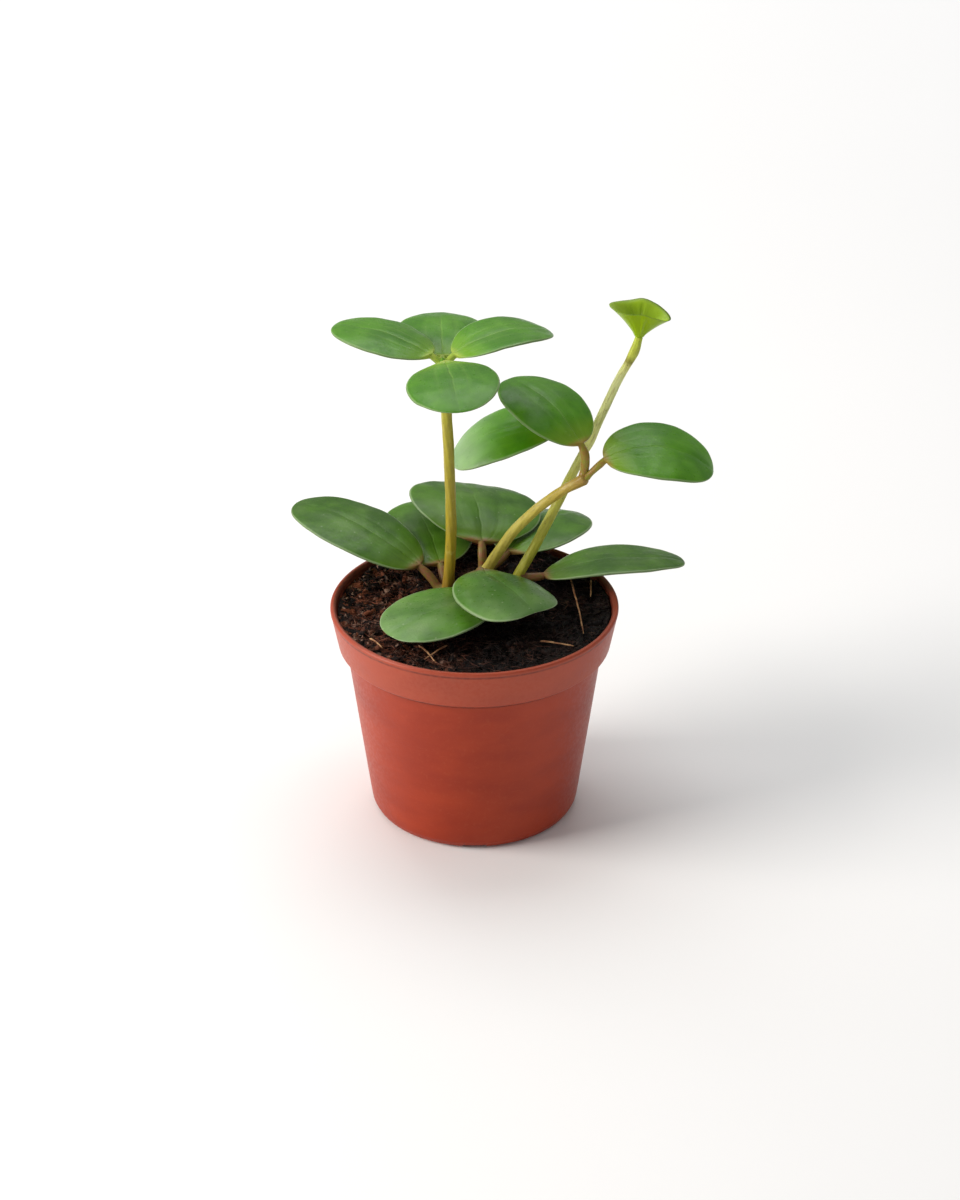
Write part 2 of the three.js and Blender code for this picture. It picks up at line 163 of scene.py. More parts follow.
class Paint:
    """A material's node tree under work, with the steps that every finish here uses."""

    def __init__(self, name: str) -> None:
        """Starts an empty material."""
        self.material = bpy.data.materials.new(name)
        self.material.use_nodes = True
        self.tree = self.material.node_tree
        self.tree.nodes.clear()
        self.place = add_node(self.tree, "ShaderNodeTexCoord").outputs["Object"]

    def node(self, kind: str, inputs: Optional[dict[Any, Any]] = None, **settings: Any) -> bpy.types.Node:
        """Adds a node to this material."""
        return add_node(self.tree, kind, inputs, **settings)

    def grain(
        self,
        size: float,
        where: Optional[bpy.types.NodeSocket] = None,
        shift: float = 0.0,
        detail: float = 3.0,
        stretch: tuple[float, float, float] = (1, 1, 1),
    ) -> bpy.types.NodeSocket:
        """Adds cloudy noise.

        Args:
            size: Rough size of one cloud, in the units of the coordinates.
            where: The coordinates, or None for the piece's own metres.
            shift: Moves the pattern, so that each piece has its own.
            detail: How many finer layers it has.
            stretch: How much finer it is along each axis.

        Returns:
            The noise, from 0 to 1.
        """
        moved = self.node(
            "ShaderNodeMapping",
            {"Vector": where or self.place, "Location": (shift, 2 * shift, -shift), "Scale": stretch},
        )
        cloud = self.node(
            "ShaderNodeTexNoise",
            {"Vector": moved.outputs[0], "Scale": 1 / size, "Detail": detail, "Roughness": 0.55},
        )
        return cloud.outputs["Fac"]

    def spread(
        self, value: bpy.types.NodeSocket, low: float, high: float, start: float = 0.0, end: float = 1.0
    ) -> bpy.types.NodeSocket:
        """Maps low to high smoothly onto start to end, and holds it there."""
        mapped = self.node(
            "ShaderNodeMapRange",
            {"Value": value, "From Min": low, "From Max": high, "To Min": start, "To Max": end},
            interpolation_type="SMOOTHSTEP",
        )
        return mapped.outputs[0]

    def sum(self, operation: str, first: Any, second: Any = 0.0) -> bpy.types.NodeSocket:
        """Works out one sum of two numbers."""
        return self.node("ShaderNodeMath", {0: first, 1: second}, operation=operation).outputs[0]

    def blend(self, share: Any, first: Any, second: Any) -> bpy.types.NodeSocket:
        """Mixes two colours, each a hex colour or a socket."""
        inputs = {0: share}
        # The colour pair of a Mix node is inputs 6 and 7, and its colour result is output 2.
        for key, value in ((6, first), (7, second)):
            inputs[key] = linear(value) if isinstance(value, str) else value
        return self.node("ShaderNodeMix", inputs, data_type="RGBA").outputs[2]

    def ramp(self, value: bpy.types.NodeSocket, stops: Sequence[tuple[float, str]]) -> bpy.types.NodeSocket:
        """Looks a number up in a row of colours."""
        return self.node("ShaderNodeValToRGB", {0: value}, stops=stops).outputs["Color"]

    def bump(self, height: bpy.types.NodeSocket, depth: float, under: Any = None) -> bpy.types.NodeSocket:
        """Raises the skin where height is high, by depth in metres."""
        inputs = {"Height": height, "Distance": depth, "Strength": 1.0}
        if under is not None:
            inputs["Normal"] = under
        return self.node("ShaderNodeBump", inputs).outputs[0]

    def finish(self, **sockets: Any) -> bpy.types.Material:
        """Closes the tree with a principled surface.

        Args:
            **sockets: Values or sockets by input name, with _ for a space.

        Returns:
            The material.
        """
        inputs = {name.replace("_", " "): value for name, value in sockets.items()}
        surface = self.node("ShaderNodeBsdfPrincipled", inputs)
        self.node("ShaderNodeOutputMaterial", {"Surface": surface.outputs[0]})
        return self.material


def make_piece(
    name: str,
    work: bmesh.types.BMesh,
    material: bpy.types.Material,
    stands_for: Sequence[str] = (),
) -> bpy.types.Object:
    """Turns a finished bmesh into a piece that rides on the plant.

    Args:
        name: The piece's name.
        work: Its mesh, which is freed.
        material: Its finish.
        stands_for: The CAD nodes that it replaces.

    Returns:
        The piece.
    """
    mesh = bpy.data.meshes.new(name)
    work.to_mesh(mesh)
    work.free()
    mesh.shade_smooth()
    mesh.materials.append(material)
    piece = bpy.data.objects.new(name, mesh)
    bpy.context.scene.collection.objects.link(piece)
    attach(piece, BODY)
    if stands_for:
        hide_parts(*stands_for)
    log.info("%s: %d faces", name, len(mesh.polygons))
    return piece


# ---------------------------------------------------------------- skins over rings


def ring_waves(angle: np.ndarray) -> np.ndarray:
    """How much of a ring's middle and of each of its four swings there is at each angle round it."""
    return np.stack([np.ones_like(angle), np.cos(angle), np.sin(angle), np.cos(2 * angle), np.sin(2 * angle)])


class RingFit:
    """The rings of points that a leaf, stem or strand is made of, read from its CAD node.

    A ring can be read as its middle and two swings around it, so that finer rings can be drawn between.
    """

    def __init__(self, node: str, around: int) -> None:
        """Reads a node's rings.

        Args:
            node: The CAD node.
            around: How many points each ring has.
        """
        work = bmesh.new()
        work.from_mesh(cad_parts[node].data)
        bmesh.ops.remove_doubles(work, verts=work.verts, dist=0.002 * MM)
        beside_pole = 5
        start, end = (
            vert
            for vert in work.verts
            if len(vert.link_edges) == around
            and all(len(edge.other_vert(vert).link_edges) == beside_pole for edge in vert.link_edges)
        )
        layers = self._layers(start)[1:-1]
        rings = [self._walk(layer) for layer in layers]
        if not self._is_further(end, rings[-1], start, rings[0]):
            end = start
            rings.reverse()
        self.end = np.array(end.co)
        self.rings = self._line_up(rings)
        work.free()

    @staticmethod
    def _is_further(
        end: bmesh.types.BMVert, last: np.ndarray, start: bmesh.types.BMVert, first: np.ndarray
    ) -> bool:
        """Says whether the last ring lies further from its pole than the first does from its own."""
        gap_end = np.linalg.norm(np.array(end.co) - last.mean(0))
        gap_start = np.linalg.norm(np.array(start.co) - first.mean(0))
        flat = 0.05 * MM
        if gap_end < flat and gap_start < flat:
            return bool(end.co.z > start.co.z)
        return bool(gap_end > gap_start)

    @staticmethod
    def _layers(start: bmesh.types.BMVert) -> list[set[bmesh.types.BMVert]]:
        """Sorts the points by how many edges they are from the first pole."""
        layers, seen = [{start}], {start}
        while layers[-1]:
            reached = {edge.other_vert(vert) for vert in layers[-1] for edge in vert.link_edges} - seen
            seen |= reached
            layers.append(reached)
        return layers[:-1]

    @staticmethod
    def _walk(layer: set[bmesh.types.BMVert]) -> np.ndarray:
        """Follows one ring from point to point."""
        vert = min(layer, key=lambda each: (round(each.co.x, 7), round(each.co.y, 7), round(each.co.z, 7)))
        route = [vert]
        while len(route) < len(layer):
            beside = [edge.other_vert(vert) for edge in vert.link_edges]
            vert = next(each for each in beside if each in layer and each not in route)
            route.append(vert)
        return np.array([each.co[:] for each in route])

    def _line_up(self, rings: list[np.ndarray]) -> np.ndarray:
        """Turns each ring to start beside the start of the ring before it, and all the same way round.

        Args:
            rings: The rings, each in walking order.

        Returns:
            An array of rings, points and coordinates.
        """
        middles = [ring.mean(0) for ring in rings]
        lined_up: list[np.ndarray] = []
        for index, ring in enumerate(rings):
            ahead = middles[min(index + 1, len(rings) - 1)] - middles[max(index - 1, 0)]
            arms = ring - middles[index]
            if np.cross(arms, np.roll(arms, -1, axis=0)).sum(0) @ ahead < 0:
                ring = ring[::-1]
            if lined_up:
                before = lined_up[-1] - middles[index - 1]
                before = before / np.linalg.norm(before)
                turned = [np.roll(ring, shift, axis=0) for shift in range(len(ring))]
                ring = max(turned, key=lambda each: float(np.sum((each - middles[index]) * before)))
            lined_up.append(ring)
        return np.array(lined_up)

    def turn(self, shift: int) -> None:
        """Moves the start of every ring round by a number of points."""
        self.rings = np.roll(self.rings, -shift, axis=1)

    def swings(self) -> np.ndarray:
        """Works out each ring's middle and its first two swings around it.

        Returns:
            An array of rings, five vectors and coordinates. The vectors are the middle and the swings that go
            with the angle's cosine and sine and with twice the angle's cosine and sine.
        """
        count = self.rings.shape[1]
        shares = ring_waves(2 * np.pi * np.arange(count) / count)
        shares[0] /= 2
        return np.stack([np.einsum("k,rkc->rc", wave, self.rings) * 2 / count for wave in shares], axis=1)


def between(rows: np.ndarray, before: np.ndarray, after: np.ndarray, place: np.ndarray) -> np.ndarray:
    """Draws a smooth curve through equally spaced rows of numbers.

    Args:
        rows: The rows.
        before: The row that would come before the first.
        after: The row that would come after the last.
        place: Where to read the curve, from 0 at the first row.

    Returns:
        The curve's values at those places.
    """
    padded = np.concatenate([before[None], rows, after[None]])
    step = np.clip(np.floor(place).astype(int), 0, len(rows) - 2)
    share = (place - step).reshape(-1, *[1] * (rows.ndim - 1))
    first, second, third, fourth = (padded[step + offset] for offset in range(4))
    rise = (third - first) / 2
    leave = (fourth - second) / 2
    return (
        (2 * share**3 - 3 * share**2 + 1) * second
        + (share**3 - 2 * share**2 + share) * rise
        + (-2 * share**3 + 3 * share**2) * third
        + (share**3 - share**2) * leave
    )


def around_ring(swings: np.ndarray, angle: np.ndarray) -> np.ndarray:
    """Points on rings, each given as its middle and swings, at an angle round each."""
    return np.einsum("wn,nwc->nc", ring_waves(angle), swings)


def wrap_sphere(
    around: int, along: int, place: Callable[[np.ndarray, np.ndarray], np.ndarray]
) -> tuple[bmesh.types.BMesh, np.ndarray, np.ndarray]:
    """Pulls a sphere of rings into a long closed shape.

    Args:
        around: Segments around it.
        along: Segments from pole to pole.
        place: Gives each point from its share of the length and its angle round.

    Returns:
        The bmesh, and each vertex's share of the length and angle.
    """
    work = bmesh.new()
    bmesh.ops.create_uvsphere(work, u_segments=around, v_segments=along, radius=1)
    corners = np.array([vert.co[:] for vert in work.verts])
    share = np.arccos(np.clip(-corners[:, 2], -1, 1)) / np.pi
    angle = np.arctan2(corners[:, 1], corners[:, 0])
    points = place(share, angle)
    for vert, point in zip(work.verts, points):
        vert.co = point
    bmesh.ops.recalc_face_normals(work, faces=work.faces)
    return work, share, angle


def store(piece: bpy.types.Object, name: str, values: np.ndarray) -> None:
    """Keeps a number or a vector for each vertex under a name that the finish reads."""
    kind, key = ("FLOAT", "value") if values.ndim == 1 else ("FLOAT_VECTOR", "vector")
    piece.data.attributes.new(name, kind, "POINT").data.foreach_set(key, values.astype(np.float32).ravel())


# ---------------------------------------------------------------- leaves


@dataclass(frozen=True)
class LeafSkin:
    """Living leaf, grown: a thick skin of wax with pale sunken veins and a rounded, paler rim.

    The wax gives a soft broad sheen, and old leaves carry a whitish bloom with tiny pale specks.
    Some blades also carry a painted highlight, a broad milky sheen over their outer half.
    """

    body: str = "#54900f"
    deep: str = "#40790a"
    base: str = "#80a024"
    vein: str = "#8fb455"
    rim: str = "#8fab72"
    under: str = "#6f9440"
    petiole: str = "#9a9a3a"
    edge: str = "#5d6b48"
    frost: str = "#a8c47e"
    # Colour of the painted highlight, a broad milky sheen.
    painted_sheen_colour: str = "#cbe0bd"
    speck: str = "#e4e8d2"
    bloom: float = 0.12
    # Strength of the painted milky sheen; 0 leaves it out.
    painted_sheen_share: float = 0.0
    veins: float = 0.4
    roughness: float = 0.33
    ior: float = 1.45
    patch_size: float = 7 * MM
    frost_size: float = 9 * MM
    fine_size: float = 0.9 * MM
    speck_spacing: float = 2.1 * MM
    cell_size: float = 0.32 * MM
    cell_depth: float = 0.02 * MM
    vein_depth: float = 0.09 * MM
    # How far from the outline the pale rim and the thin dark edge fade out, in millimetres.
    rim_reach: float = 0.5
    edge_reach: float = 0.16
    # The midrib and two veins on each side: how far across the half blade, and how strong, as a grey.
    vein_lanes: tuple[tuple[float, str], ...] = (
        (0, "#ffffff"), (0.03, "#808080"), (0.09, "#000000"), (0.26, "#000000"), (0.33, "#a0a0a0"),
        (0.41, "#000000"), (0.56, "#000000"), (0.63, "#707070"), (0.71, "#000000"),
    )

    def material(self, name: str, shift: float) -> bpy.types.Material:
        """Makes the finish for one leaf.

        Args:
            name: The material's name.
            shift: Moves its patterns, so that no two leaves are alike.

        Returns:
            The material.
        """
        paint = Paint(name)
        blade = paint.node("ShaderNodeAttribute", attribute_name="blade").outputs["Vector"]
        parts = paint.node("ShaderNodeSeparateXYZ", {0: blade})
        along, across, height = parts.outputs[0], parts.outputs[1], parts.outputs[2]
        margin = paint.node("ShaderNodeAttribute", attribute_name="margin").outputs["Fac"]

        cloud = paint.grain(self.patch_size, shift=shift)
        fine = paint.grain(self.fine_size, shift=shift, detail=4)
        colour = paint.blend(paint.spread(cloud, 0.35, 0.68), self.deep, self.body)
        near_base = paint.spread(along, 0.02, 0.3, 1, 0)
        colour = paint.blend(paint.sum("MULTIPLY", near_base, 0.75), colour, self.base)

        wander = paint.sum("MULTIPLY", paint.sum("SUBTRACT", paint.grain(5 * MM, shift=-shift), 0.5), 0.1)
        lane = paint.sum("ABSOLUTE", paint.sum("ADD", across, wander))
        lanes = paint.ramp(lane, self.vein_lanes)
        fade = paint.spread(along, 0.25, 0.95, 1, 0.15)
        vein = paint.sum("MULTIPLY", paint.sum("MULTIPLY", lanes, fade), paint.spread(fine, 0.2, 0.6, 0.6, 1))
        colour = paint.blend(paint.sum("MULTIPLY", vein, self.veins), colour, self.vein)

        # Parallel fine streaks between the veins, about half a millimetre apart.
        streak = paint.grain(0.05, where=blade, shift=shift, detail=2, stretch=(0.35, 1, 0))
        colour = paint.blend(paint.spread(streak, 0.42, 0.75, 0, 0.22), colour, self.deep)

        colour = paint.blend(paint.spread(height, -0.1, -0.45), colour, self.under)

        frost = paint.grain(self.frost_size, shift=2 * shift, detail=6)
        frosted = paint.sum("MULTIPLY", paint.spread(frost, 0.42, 0.8), self.bloom)
        colour = paint.blend(frosted, colour, self.frost)
        # A painted highlight: a broad milky sheen over the outer half of the blade, a little stronger where the
        # frost is.
        painted_sheen_mask = paint.sum("MULTIPLY", paint.spread(along, 0.42, 1.0), paint.spread(frost, 0.1, 0.7, 0.6, 1))
        colour = paint.blend(paint.sum("MULTIPLY", painted_sheen_mask, self.painted_sheen_share), colour, self.painted_sheen_colour)
        specks = paint.node(
            "ShaderNodeTexVoronoi",
            {"Vector": paint.place, "Scale": 1 / self.speck_spacing, "Randomness": 1.0},
        ).outputs["Distance"]
        speck = paint.sum("MULTIPLY", paint.spread(specks, 0.05, 0.12, 1, 0), self.bloom)
        colour = paint.blend(speck, colour, self.speck)

        rim = paint.spread(margin, self.edge_reach, self.rim_reach, 1, 0)
        colour = paint.blend(paint.sum("MULTIPLY", rim, 0.6), colour, self.rim)
        edge = paint.spread(margin, 0.02, self.edge_reach, 1, 0)
        colour = paint.blend(paint.sum("MULTIPLY", edge, 0.6), colour, self.edge)

        stalk = paint.spread(along, 0.0, 0.07, 1, 0)
        stalk_colour = paint.blend(paint.spread(fine, 0.35, 0.7, 0, 0.5), self.petiole, self.base)
        colour = paint.blend(stalk, colour, stalk_colour)

        gloss = paint.spread(fine, 0.3, 0.75, self.roughness - 0.06, self.roughness + 0.1)
        # The skin's cells are far finer than this, and are drawn as coarse as they need to show.
        cells = paint.grain(self.cell_size, shift=shift, detail=2)
        skin = paint.bump(cells, self.cell_depth)
        skin = paint.bump(paint.sum("SUBTRACT", 1.0, vein), self.vein_depth, skin)
        return paint.finish(
            Base_Color=colour,
            Roughness=gloss,
            IOR=self.ior,
            Normal=skin,
            Subsurface_Weight=0.12,
            Subsurface_Radius=(0.6, 1.0, 0.25),
            Subsurface_Scale=0.6 * MM,
            Specular_IOR_Level=0.3,
        )


@dataclass
class Leaf:
    """One leaf with its petiole, drawn over its CAD node. Its root is in the middle of the stem beside it.

    Its corners are bulges of the outline, or dents where negative: each has a heading from the blade's middle
    in degrees and a distance. A direct petiole runs in one easy curve, not through the CAD node's rings.
    """

    node: str
    skin: LeafSkin
    slot: Slot
    shift: float
    stem_middles: np.ndarray
    fullness: float = 0.8
    rib_depth: float = 0.14 * MM
    swell: float = 0.28 * MM
    swell_length: float = 8 * MM
    small_swell: float = 0.4
    small_swell_length: float = 3 * MM
    root_flare: float = 1.35
    stalk_swell: float = 1.0
    direct: bool = False
    corners: tuple[tuple[float, float], ...] = ()
    corner_sharpness: float = 9.0
    stalk_share: float = 0.2
    rib_width: float = 0.55 * MM
    around: int = 72
    along: int = 88
    points_around: int = 10
    petiole_rings: int = 3
    blade_rings: int = 12

    def _spans(self) -> tuple[np.ndarray, np.ndarray]:
        """Reads the node and puts the rings of the petiole and of the blade in two arrays of swings."""
        fit = RingFit(self.node, self.points_around)
        middle = self.petiole_rings + self.blade_rings // 2
        arms = fit.rings[middle] - fit.rings[middle].mean(0)
        fit.turn(int(np.argmax(np.linalg.norm(arms, axis=1))))
        if fit.swings()[middle, 2, 2] < 0:
            fit.turn(self.points_around // 2)
        swings = fit.swings()
        tip = np.zeros_like(swings[:1])
        tip[0, 0] = fit.end
        return swings[: self.petiole_rings + 1], np.concatenate([swings[self.petiole_rings :], tip])

    def _straighter(self, inside: np.ndarray, petiole: np.ndarray) -> np.ndarray:
        """Draws the petiole in one easy curve from the middle of the stem to the blade.

        Args:
            inside: The ring at the stem's middle.
            petiole: The petiole's rings.

        Returns:
            The rings, moved onto the curve.
        """
        share = np.arange(1, len(petiole) + 1)[:, None] / len(petiole)
        end = petiole[-1, 0]
        arrive = end - petiole[-2, 0]
        arrive *= 0.9 * np.linalg.norm(end - inside[0]) / np.linalg.norm(arrive)
        moved = petiole.copy()
        straight = inside[0] + (end - inside[0]) * share
        moved[:, 0] = straight + (share**3 - share**2) * (arrive - (end - inside[0]))
        return moved

    def build(self) -> bpy.types.Object:
        """Makes the leaf.

        Returns:
            The piece.
        """
        petiole, blade = self._spans()
        petiole[:-1, 1:] *= self.stalk_swell
        inside = petiole[0].copy()
        inside[0] = self.stem_middles[np.argmin(np.linalg.norm(self.stem_middles - inside[0], axis=1))]
        inside[1:] *= self.root_flare
        if self.direct:
            petiole = self._straighter(inside, petiole)
        stalk = np.concatenate([inside[None], petiole])
        mirrored_base = blade[1].copy()
        mirrored_tip = blade[-2] * np.array([1, -1, -1, 1, 1])[:, None]
        past_end = blade[0].copy()
        past_end[0] = 2 * petiole[-1, 0] - petiole[-2, 0]
        stalk_share = self.stalk_share
        last = self.blade_rings
        rows: dict[str, np.ndarray] = {}

        def place(share: np.ndarray, angle: np.ndarray) -> np.ndarray:
            """Gives each point of the leaf."""
            on_stalk = share < stalk_share
            stalk_place = np.clip(share / stalk_share, 0, 1) * (len(stalk) - 1)
            blade_place = np.clip((share - stalk_share) / (1 - stalk_share), 0, 1) * last
            before = stalk[0].copy()
            before[0] = 2 * stalk[0, 0] - stalk[1, 0]
            swings = np.where(
                on_stalk[:, None, None],
                between(stalk, before, past_end, stalk_place),
                between(blade, mirrored_base, mirrored_tip, blade_place),
            )
            swings[share < TINY, 1:] = 0
            points = around_ring(swings, angle)
            half_width = np.linalg.norm(swings[:, 1], axis=1)
            up = swings[:, 2] / np.maximum(np.linalg.norm(swings[:, 2], axis=1), TINY)[:, None]
            sine, cosine = np.sin(angle), np.cos(angle)
            opened = np.where(on_stalk, 0, smooth_step(blade_place, 0.3, 3))
            fuller = np.sign(sine) * (np.abs(sine) ** self.fullness - np.abs(sine)) * opened
            points += fuller[:, None] * swings[:, 2]
            aside = cosine * half_width
            fading = opened * (1 - smooth_step(blade_place, last * 2 / 3, last))
            groove = -np.exp(-((aside / self.rib_width) ** 2)) * np.where(sine > 0, 1, 0.6)
            points += (self.rib_depth * fading * groove)[:, None] * up
            arms = (points - blade[last // 2, 0])[:, :2]
            reach = np.maximum(np.linalg.norm(arms, axis=1), TINY)
            toward = np.arctan2(arms[:, 1], arms[:, 0])
            for heading, out in self.corners:
                near = np.exp(self.corner_sharpness * (np.cos(toward - math.radians(heading)) - 1))
                bulge = out * near * (1 - on_stalk) * (reach / reach.max()) ** 2
                points[:, :2] += (bulge / reach)[:, None] * arms
            swells = ripple(points, self.swell_length, self.shift)
            swells += self.small_swell * ripple(points, self.small_swell_length, -self.shift)
            points += (self.swell * opened * swells)[:, None] * up
            blade_along = (1 - np.cos(np.pi * blade_place / last)) / 2
            rows["along"] = np.where(on_stalk, share / stalk_share - 1, blade_along)
            rows["margin"] = (1 - np.abs(cosine)) * half_width / MM
            return points

        work, _, angle = wrap_sphere(self.around, self.along, place)
        finish = self.skin.material(self.node, self.shift)
        piece = make_piece(self.node + "_skin", work, finish, [self.node])
        store(piece, "blade", np.stack([rows["along"], np.cos(angle), np.sin(angle)], axis=1))
        store(piece, "margin", rows["margin"])
        return piece


@dataclass
class BudCup:
    """The four youngest leaves at a stem's tip, joined into a flaring cup whose rim runs to their tips."""

    nodes: Sequence[str]
    skin: LeafSkin
    root: np.ndarray
    shift: float
    neck: float = 0.85 * MM
    wall: float = 0.55 * MM
    valley: float = 0.74
    valley_height: float = 0.86
    point: float = 2.2
    flare: float = 1.35
    rib_height: float = 0.16 * MM
    floor_rise: float = 0.8 * MM
    wave_height: float = 0.12 * MM
    wave_length: float = 2.5 * MM
    around: int = 96
    along: int = 64
    points_around: int = 10

    def _rim(self, angle: np.ndarray) -> tuple[np.ndarray, np.ndarray, np.ndarray]:
        """Finds where the rim is in each direction.

        Args:
            angle: Directions around the cup.

        Returns:
            The rim's distance out, its height above the root, and how near it is to the middle of a leaf.
        """
        arms = np.array([RingFit(node, self.points_around).end - self.root for node in self.nodes])
        reach = np.hypot(arms[:, 0], arms[:, 1])
        headings = np.arctan2(arms[:, 1], arms[:, 0])
        near = np.exp(-self.point * (1 - np.cos(angle[:, None] - headings)))
        low_reach, low_height = reach.mean() * self.valley, arms[:, 2].mean() * self.valley_height
        out = low_reach + near @ (reach - low_reach)
        high = low_height + near @ (arms[:, 2] - low_height)
        return out, high, near.max(1)

    def build(self) -> bpy.types.Object:
        """Makes the cup.

        Returns:
            The piece.
        """
        rows: dict[str, np.ndarray] = {}

        def place(share: np.ndarray, angle: np.ndarray) -> np.ndarray:
            """Gives each point: up the outside to the rim, then down the inside."""
            out, high, near = self._rim(angle)
            outside = share <= 0.5
            climb = np.where(outside, share, 1 - share) * 2
            rise = high * climb**0.9
            skin_out = self.neck + (out - self.neck) * climb**self.flare
            skin_out *= np.sqrt(np.clip(climb / 0.06, 0, 1))
            rib = np.exp(-((1 - near) / 0.02) ** 2) - 0.8 * np.exp(-((near - near.min()) / 0.05) ** 2)
            rib *= smooth_step(climb, 0.05, 0.4) * (1 - smooth_step(climb, 0.8, 1.0))
            skin_out += self.rib_height * rib
            skin_in = skin_out - self.wall * np.sqrt(np.clip((1 - climb) / 0.08, 0, 1))
            skin_in = np.maximum(skin_in, 0) * smooth_step(climb, 0.0, 0.3)
            lift = np.where(outside, 0, self.floor_rise * (1 - climb) * smooth_step(1 - climb, 0, 0.2))
            radius = np.where(outside, skin_out, skin_in)
            arm = np.stack([radius * np.cos(angle), radius * np.sin(angle), rise + lift], axis=1)
            points = self.root + arm
            points[:, 2] += self.wave_height * climb * ripple(points, self.wave_length, self.shift)
            rows["along"] = 0.12 + 0.88 * climb
            rows["across"] = np.sqrt(np.clip(1 - near, 0, 1))
            rows["height"] = np.where(outside, -1.0, 1.0)
            rows["margin"] = (1 - climb) * np.hypot(out, high) / MM
            return points

        work, _, _ = wrap_sphere(self.around, self.along, place)
        finish = self.skin.material("bud_cup", self.shift)
        piece = make_piece("bud_cup", work, finish, self.nodes)
        store(piece, "blade", np.stack([rows["along"], rows["across"], rows["height"]], axis=1))
        store(piece, "margin", rows["margin"])
        return piece


@dataclass
class GrowingTip:
    """The folded pale leaflets between the crown's leaves: a small pointed knob of two halves."""

    skin: LeafSkin
    root: np.ndarray
    height: float = 2.3 * MM
    radius: float = 1.15 * MM
    sink: float = 0.5 * MM
    groove_depth: float = 0.22
    groove_width: float = 0.25
    groove_heading: float = 0.6
    around: int = 32
    along: int = 32

    def build(self) -> bpy.types.Object:
        """Makes the tip.

        Returns:
            The piece.
        """

        def place(share: np.ndarray, angle: np.ndarray) -> np.ndarray:
            """Gives each point: a teardrop with a groove over its top."""
            width = np.sin(np.pi * share) ** 0.8 * (1 - 0.45 * share)
            across = np.cos(angle - self.groove_heading) / self.groove_width
            groove = self.groove_depth * np.exp(-(across**2)) * smooth_step(share, 0.2, 0.7)
            radius = self.radius * width * (1 - groove)
            rise = self.height * share - self.sink
            return self.root + np.stack([radius * np.cos(angle), radius * np.sin(angle), rise], axis=1)

        work, share, angle = wrap_sphere(self.around, self.along, place)
        piece = make_piece("crown_tip", work, self.skin.material("crown_tip", 0.7))
        store(piece, "blade", np.stack([0.1 + 0.1 * share, np.cos(angle), np.ones_like(share)], axis=1))
        store(piece, "margin", np.full_like(share, 2.0))
        return piece


# ---------------------------------------------------------------- stems


@dataclass(frozen=True)
class StemSkin:
    """Living stem, grown: smooth fleshy bark with faint lengthways streaks, browner at its foot and nodes."""

    shades: tuple[tuple[float, str], ...]
    streak: str = "#8c7c2a"
    mottle: str = "#d9cf7a"
    freckle: str = "#5d4522"
    roughness: float = 0.4
    mottle_size: float = 2.4 * MM
    freckle_spacing: float = 1.3 * MM
    streak_depth: float = 0.05 * MM
    grain_size: float = 0.3 * MM
    grain_depth: float = 0.02 * MM

    def material(self, name: str, shift: float) -> bpy.types.Material:
        """Makes the finish for one stem.

        Args:
            name: The material's name.
            shift: Moves its patterns.

        Returns:
            The material.
        """
        paint = Paint(name)
        bark = paint.node("ShaderNodeAttribute", attribute_name="bark").outputs["Vector"]
        parts = paint.node("ShaderNodeSeparateXYZ", {0: bark})
        colour = paint.ramp(parts.outputs[0], self.shades)
        # Streaks run along the stem, a third of a millimetre across and some millimetres long.
        streaks = paint.grain(0.5, where=bark, shift=shift, detail=4, stretch=(14, 1, 1))
        colour = paint.blend(paint.spread(streaks, 0.45, 0.75, 0, 0.55), colour, self.streak)
        mottle = paint.grain(self.mottle_size, shift=shift, detail=4)
        colour = paint.blend(paint.spread(mottle, 0.55, 0.8, 0, 0.35), colour, self.mottle)
        freckles = paint.node(
            "ShaderNodeTexVoronoi",
            {"Vector": paint.place, "Scale": 1 / self.freckle_spacing, "Randomness": 1.0},
        ).outputs["Distance"]
        colour = paint.blend(paint.spread(freckles, 0.06, 0.13, 0.5, 0), colour, self.freckle)
        skin = paint.bump(streaks, self.streak_depth)
        skin = paint.bump(paint.grain(self.grain_size, shift=shift), self.grain_depth, skin)
        return paint.finish(
            Base_Color=colour,
            Roughness=paint.spread(mottle, 0.3, 0.7, self.roughness - 0.05, self.roughness + 0.1),
            IOR=1.45,
            Normal=skin,
            Subsurface_Weight=0.1,
            Subsurface_Radius=(0.8, 0.7, 0.2),
            Subsurface_Scale=0.5 * MM,
        )


